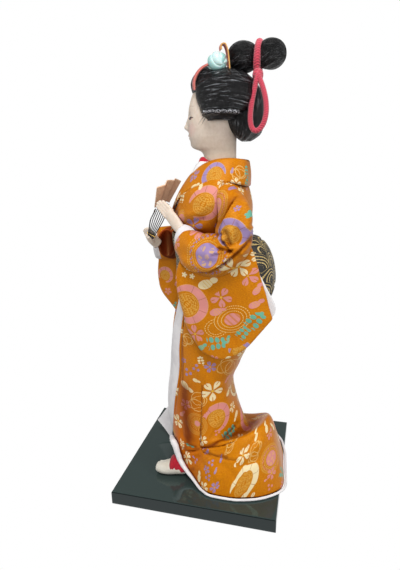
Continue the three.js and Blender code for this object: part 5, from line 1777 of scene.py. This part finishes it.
sticks = satin_black()
for i in range(STICK_COUNT):
    piece(f"fan_rib_{i + 1}", [closed(stick_grid(i))], sticks)
coat("fan_rivet", brass())

# Woven motifs: (u, v, radius, turn in degrees, kind, tint), on the cloth's UV map in millimetres.
# Empty stretches are filled about every ROOM millimetres with these (kind, tint).
ROOM = 17.0
LARGE_KINDS = [(1, 0), (1, 0), (1, 2), (2, 0), (3, 1), (4, 0), (5, 2), (5, 0), (6, 0)]
SMALL_KINDS = [(1, 0), (1, 1), (1, 1), (4, 0), (2, 3), (3, 2), (4, 1), (1, 2)]


def weave(o, large, small, seed, creases=()):
    """Gives every face its place in the nearest motif. Empty stretches are filled with seeded motifs. The
    creases become painted shade, stored in the UV map crease.
    """
    mesh = o.data
    uv = read(mesh.uv_layers["cloth"].data, "uv", 2)
    starts = read(mesh.polygons, "loop_start", kind=np.int32)
    totals = read(mesh.polygons, "loop_total", kind=np.int32)
    centre = np.add.reduceat(uv, starts) / totals[:, None]
    low, high = centre.min(0), centre.max(0)
    r = np.random.default_rng(seed)
    large, small = list(large), list(small)

    def fill(motifs, others, gap, sizes, kinds):
        steps = np.maximum(1, ((high - low) / gap).astype(int))
        for i in range(steps[0] + 1):
            for j in range(steps[1] + 1):
                p = low + np.array([i + 0.5 * (j % 2), j]) * gap + r.uniform(-0.2, 0.2, 2) * gap
                size = r.uniform(*sizes)
                kind, tint = kinds[r.integers(len(kinds))]
                turn = r.uniform(0, 360)
                free = all(math.dist(p, m[:2]) > (m[2] + size) * 1.02 for m in motifs)
                if free and all(math.dist(p, m[:2]) > m[2] * 0.75 + size for m in others):
                    motifs.append((*p, size, turn, kind, tint))

    fill(large, small, ROOM * 1.5, (8, 13), LARGE_KINDS)
    fill(small, large, ROOM * 0.5, (3.2, 6), SMALL_KINDS)
    for name, motifs in (("large", large), ("small", small)):
        local = np.full((len(uv), 2), 9.0, np.float32)
        kinds = np.zeros((len(uv), 2), np.float32)
        face_of = np.repeat(np.arange(len(starts)), totals)
        owner = np.full(len(starts), -1)
        for index, m in enumerate(motifs):
            owner[(np.linalg.norm(centre - m[:2], axis=1) < m[2] * 1.12) & (owner < 0)] = index
        table = np.array(motifs, float)
        mine = owner[face_of]
        has = mine >= 0
        m = table[mine[has]]
        d = (uv[has] - m[:, :2]) / m[:, 2:3]
        c, s = np.cos(np.radians(m[:, 3])), np.sin(np.radians(m[:, 3]))
        local[has] = np.stack([d[:, 0] * c + d[:, 1] * s, d[:, 1] * c - d[:, 0] * s], -1)
        kinds[has] = np.stack([m[:, 4], m[:, 5] + m[:, 2] / 100], -1)
        for label, values in ((name, local), (name + "_kind", kinds)):
            layer = mesh.uv_layers.new(name=label)
            layer.data.foreach_set("uv", values.reshape(-1))
    # Painted shade along the crease lines, for the brocade to darken its colour with
    shade = np.zeros(len(uv))
    for points, width, depth in creases:
        shade = np.maximum(shade, depth * np.exp(-((line_distance(uv, points)[0] / width) ** 2)))
    mesh.uv_layers.new(name="crease").data.foreach_set("uv", np.stack([shade, 0 * shade], -1).reshape(-1))
    mesh.uv_layers.active = mesh.uv_layers["cloth"]


# Creases in the cloth where the light doesn't reach: [points u, v], width, depth
LEFT_CREASES = [
    ([[26.8, 206.4], [27, 203.4], [25.8, 200], [23.8, 195.4], [21.8, 190.8], [20.6, 188]], 1.0, 0.8),
    ([[24.6, 203.8], [22.6, 197.3], [19.6, 190.9]], 2.6, 0.6),
    ([[38.3, 186.4], [35.8, 180.4], [32.5, 176.6], [28.7, 172.6], [24.8, 169.2], [20.7, 166]], 0.9, 0.9),
    ([[20.7, 166], [15.6, 163.6], [8, 162.6]], 1.2, 0.6),
    ([[18, 174.2], [22.3, 174.6], [24.8, 175.4], [27.2, 176.7]], 1.2, 0.45),
    ([[21.4, 188.2], [22.6, 185.1], [24.9, 181], [27.4, 177.7]], 0.8, 0.6),
]
BODICE_CREASES = [
    ([[-14, 190], [-9.4, 187.6], [-2, 186], [6, 186]], 4.0, 0.7),
    ([[6, 214], [10, 206], [11, 196]], 3.0, 0.6),
]
SKIRT_CREASES = [
    ([[-16.6, 112], [-16.4, 80.3], [-16.9, 64.6], [-17.8, 50.1], [-17, 38]], 0.5, 1.0),
    ([[-15, 74], [-15.4, 58], [-15, 47.6], [-14, 35.9]], 4.6, 0.95),
    ([[-1, 79.6], [-1.9, 53.3], [-2.6, 38.2], [-1.6, 32.8]], 0.5, 0.9),
    ([[-1.8, 33.2], [9.4, 35.4], [19.3, 36.6], [32.6, 33.6], [45.8, 32]], 2.0, 1.0),
    ([[24, 36], [37.6, 33], [50.8, 29.8], [58, 26]], 4.2, 0.9),
    ([[-1, 31.6], [3.9, 29.4], [14.6, 22.4], [19, 15]], 0.8, 0.7),
    ([[-2.4, 32], [-5.7, 30.6], [-15.9, 29.1], [-26, 28.3]], 0.9, 0.7),
    ([[-18.4, 30.1], [-23.2, 21], [-17.2, 12.2], [-11.4, 16.4]], 0.8, 0.6),
]

# Motifs in the places that show most: u, v, radius, turn, kind, tint
COLLAR_LARGE = [
    (62.5, 5.0, 8.6, 150, 1, 2),
    (77.7, 6.4, 5.6, 0, 6, 2),
]
COLLAR_SMALL = [
    (84.6, 8.7, 3.5, 90, 2, 3),
    (85.6, 2.9, 3.5, 80, 2, 3),
    (73.5, 7.4, 2.1, 70, 4, 2),
    (76.1, 0.0, 3.5, -20, 1, 1),
]
BODICE_LARGE = [
    (-5.0, 202.4, 11.2, 28, 1, 0),
    (-17.5, 193.5, 5.0, 100, 5, 0),
]
BODICE_SMALL = [
    (3.9, 214.9, 3.5, 10, 1, 1),
    (11.8, 213.9, 3.5, 10, 1, 1),
    (-22.1, 205.7, 3.5, 90, 2, 1),
    (23.9, 209.2, 3.5, -30, 1, 1),
    (33.5, 210.0, 1.7, 0, 4, 0),
]
LEFT_LARGE = [
    (28.5, 186.5, 9.6, 95, 1, 2),
    (14.4, 173.8, 14.5, 0, 5, 2),
    (-4.5, 140.1, 14.0, 0, 1, 0),
    (20.3, 129.6, 16.1, 25, 2, 0),
    (28.3, 109.7, 8.4, 40, 1, 2),
]
LEFT_SMALL = [
    (30.8, 200.9, 1.7, 0, 1, 2),
    (27.7, 165.6, 7.0, 60, 1, 1),
    (-2.8, 161.2, 5.6, 0, 3, 1),
    (9.4, 154.4, 7.0, 20, 4, 1),
    (32.9, 160.0, 6.3, 75, 1, 0),
    (38.5, 151.3, 4.2, 60, 4, 0),
    (38.1, 142.0, 4.9, 25, 4, 0),
    (17.1, 145.7, 6.6, 95, 1, 0),
    (15.0, 136.4, 5.6, 20, 4, 0),
    (37.4, 131.4, 6.3, 50, 2, 3),
    (30.2, 122.8, 4.9, 50, 2, 3),
    (40.6, 127.7, 4.2, 50, 4, 3),
    (3.8, 111.0, 4.2, 30, 4, 3),
    (13.2, 114.6, 6.3, 10, 2, 3),
    (20.3, 117.2, 3.5, 60, 4, 3),
    (-0.4, 120.0, 6.3, -15, 1, 0),
]
SKIRT_LARGE = [
    (-13.4, 111.1, 5.6, 0, 6, 0),
    (16.8, 91.6, 9.8, -60, 6, 2),
    (-5.0, 66.0, 8.4, 30, 6, 0),
    (-6.4, 49.0, 8.4, 90, 4, 0),
    (8.8, 53.6, 11.2, 60, 1, 0),
    (22.2, 21.3, 5.6, 20, 6, 0),
    (48.5, -14.0, 9.0, 0, 5, 0),
    (37.5, -1.5, 6.4, 20, 6, 0),
    (27.0, -14.0, 11.4, 20, 1, 1),
]
SKIRT_SMALL = [
    (-5.8, 92.8, 3.5, 0, 3, 2),
    (3.7, 94.1, 4.2, 0, 1, 2),
    (-2.7, 97.8, 3.5, 100, 2, 1),
    (-15.8, 95.7, 2.1, 0, 1, 2),
    (-13.3, 76.0, 5.6, -40, 4, 1),
    (-5.4, 82.6, 3.1, -20, 4, 1),
    (5.9, 75.1, 7.7, 20, 1, 1),
    (19.8, 68.3, 3.5, 40, 4, 1),
    (18.6, 39.1, 6.3, 20, 2, 3),
    (8.5, 43.6, 2.8, 40, 3, 0),
    (-14.9, 31.0, 4.2, -20, 4, 3),
    (40.7, 7.9, 3.5, 65, 4, 1),
    (50.2, 5.6, 3.5, 65, 4, 1),
    (29.5, 5.1, 5.6, 60, 1, 1),
    (24.1, 5.3, 2.8, 40, 4, 1),
    (51.9, 0.9, 3.5, 60, 1, 0),
    (47.1, -23.3, 3.8, 20, 1, 0),
    (42.2, -25.3, 1.7, 0, 4, 0),
    (57.0, -36.4, 2.8, 0, 1, 0),
    (45.1, -31.0, 2.8, 40, 3, 0),
    (5.8, 21.0, 2.8, 90, 3, 2),
    (1.7, 16.9, 2.8, 0, 1, 2),
    (8.9, 15.2, 2.1, 60, 4, 2),
    (2.5, 11.7, 2.8, 90, 3, 2),
    (7.6, 4.5, 3.5, 80, 1, 2),
    (13.7, 20.2, 2.8, 60, 4, 2),
    (-9.4, 22.3, 2.8, -60, 3, 2),
]
RIGHT_LARGE = [
    # Kind 7 is the right sleeve's mouth: its lining with painted shade
    (171.4, 170.0, 12.4, 0, 7, 0),
    (160.9, 143.5, 7.0, 60, 1, 0),
]
RIGHT_SMALL = [
    (168.0, 117.5, 4.5, 60, 2, 3),
    (162.5, 130.5, 3.0, 20, 1, 0),
    (171.0, 138.0, 3.6, 50, 4, 0),
]
weave(collar_piece, COLLAR_LARGE, COLLAR_SMALL, 101)
weave(bodice, BODICE_LARGE, BODICE_SMALL, 102, BODICE_CREASES)
weave(sleeve_left, LEFT_LARGE, LEFT_SMALL, 103, LEFT_CREASES)
weave(sleeve_right, RIGHT_LARGE, RIGHT_SMALL, 104)
weave(skirt, SKIRT_LARGE, SKIRT_SMALL, 105, SKIRT_CREASES)

# Floor
floor_mesh = bpy.data.meshes.new("floor")
# In metres: half its width, and a little gap under the plinth
REACH, UNDER = 9, -0.0005
corners = [(x * REACH, y * REACH, UNDER) for x, y in ((-1, -1), (1, -1), (1, 1), (-1, 1))]
floor_mesh.from_pydata(corners, [], [(0, 1, 2, 3)])
floor = bpy.data.objects.new("floor", floor_mesh)
bpy.context.collection.objects.link(floor)
floor_look = bpy.data.materials.new("floor")
floor_look.use_nodes = True
floor_shader = floor_look.node_tree.nodes["Principled BSDF"]
floor_shader.inputs["Base Color"].default_value = (0.0, 0.0, 0.0, 1)
floor_shader.inputs["Specular IOR Level"].default_value = 0.0
floor_shader.inputs["Emission Color"].default_value = (1, 1, 1, 1)
floor_shader.inputs["Emission Strength"].default_value = 1.0
floor_mesh.materials.append(floor_look)
floor.visible_diffuse = False
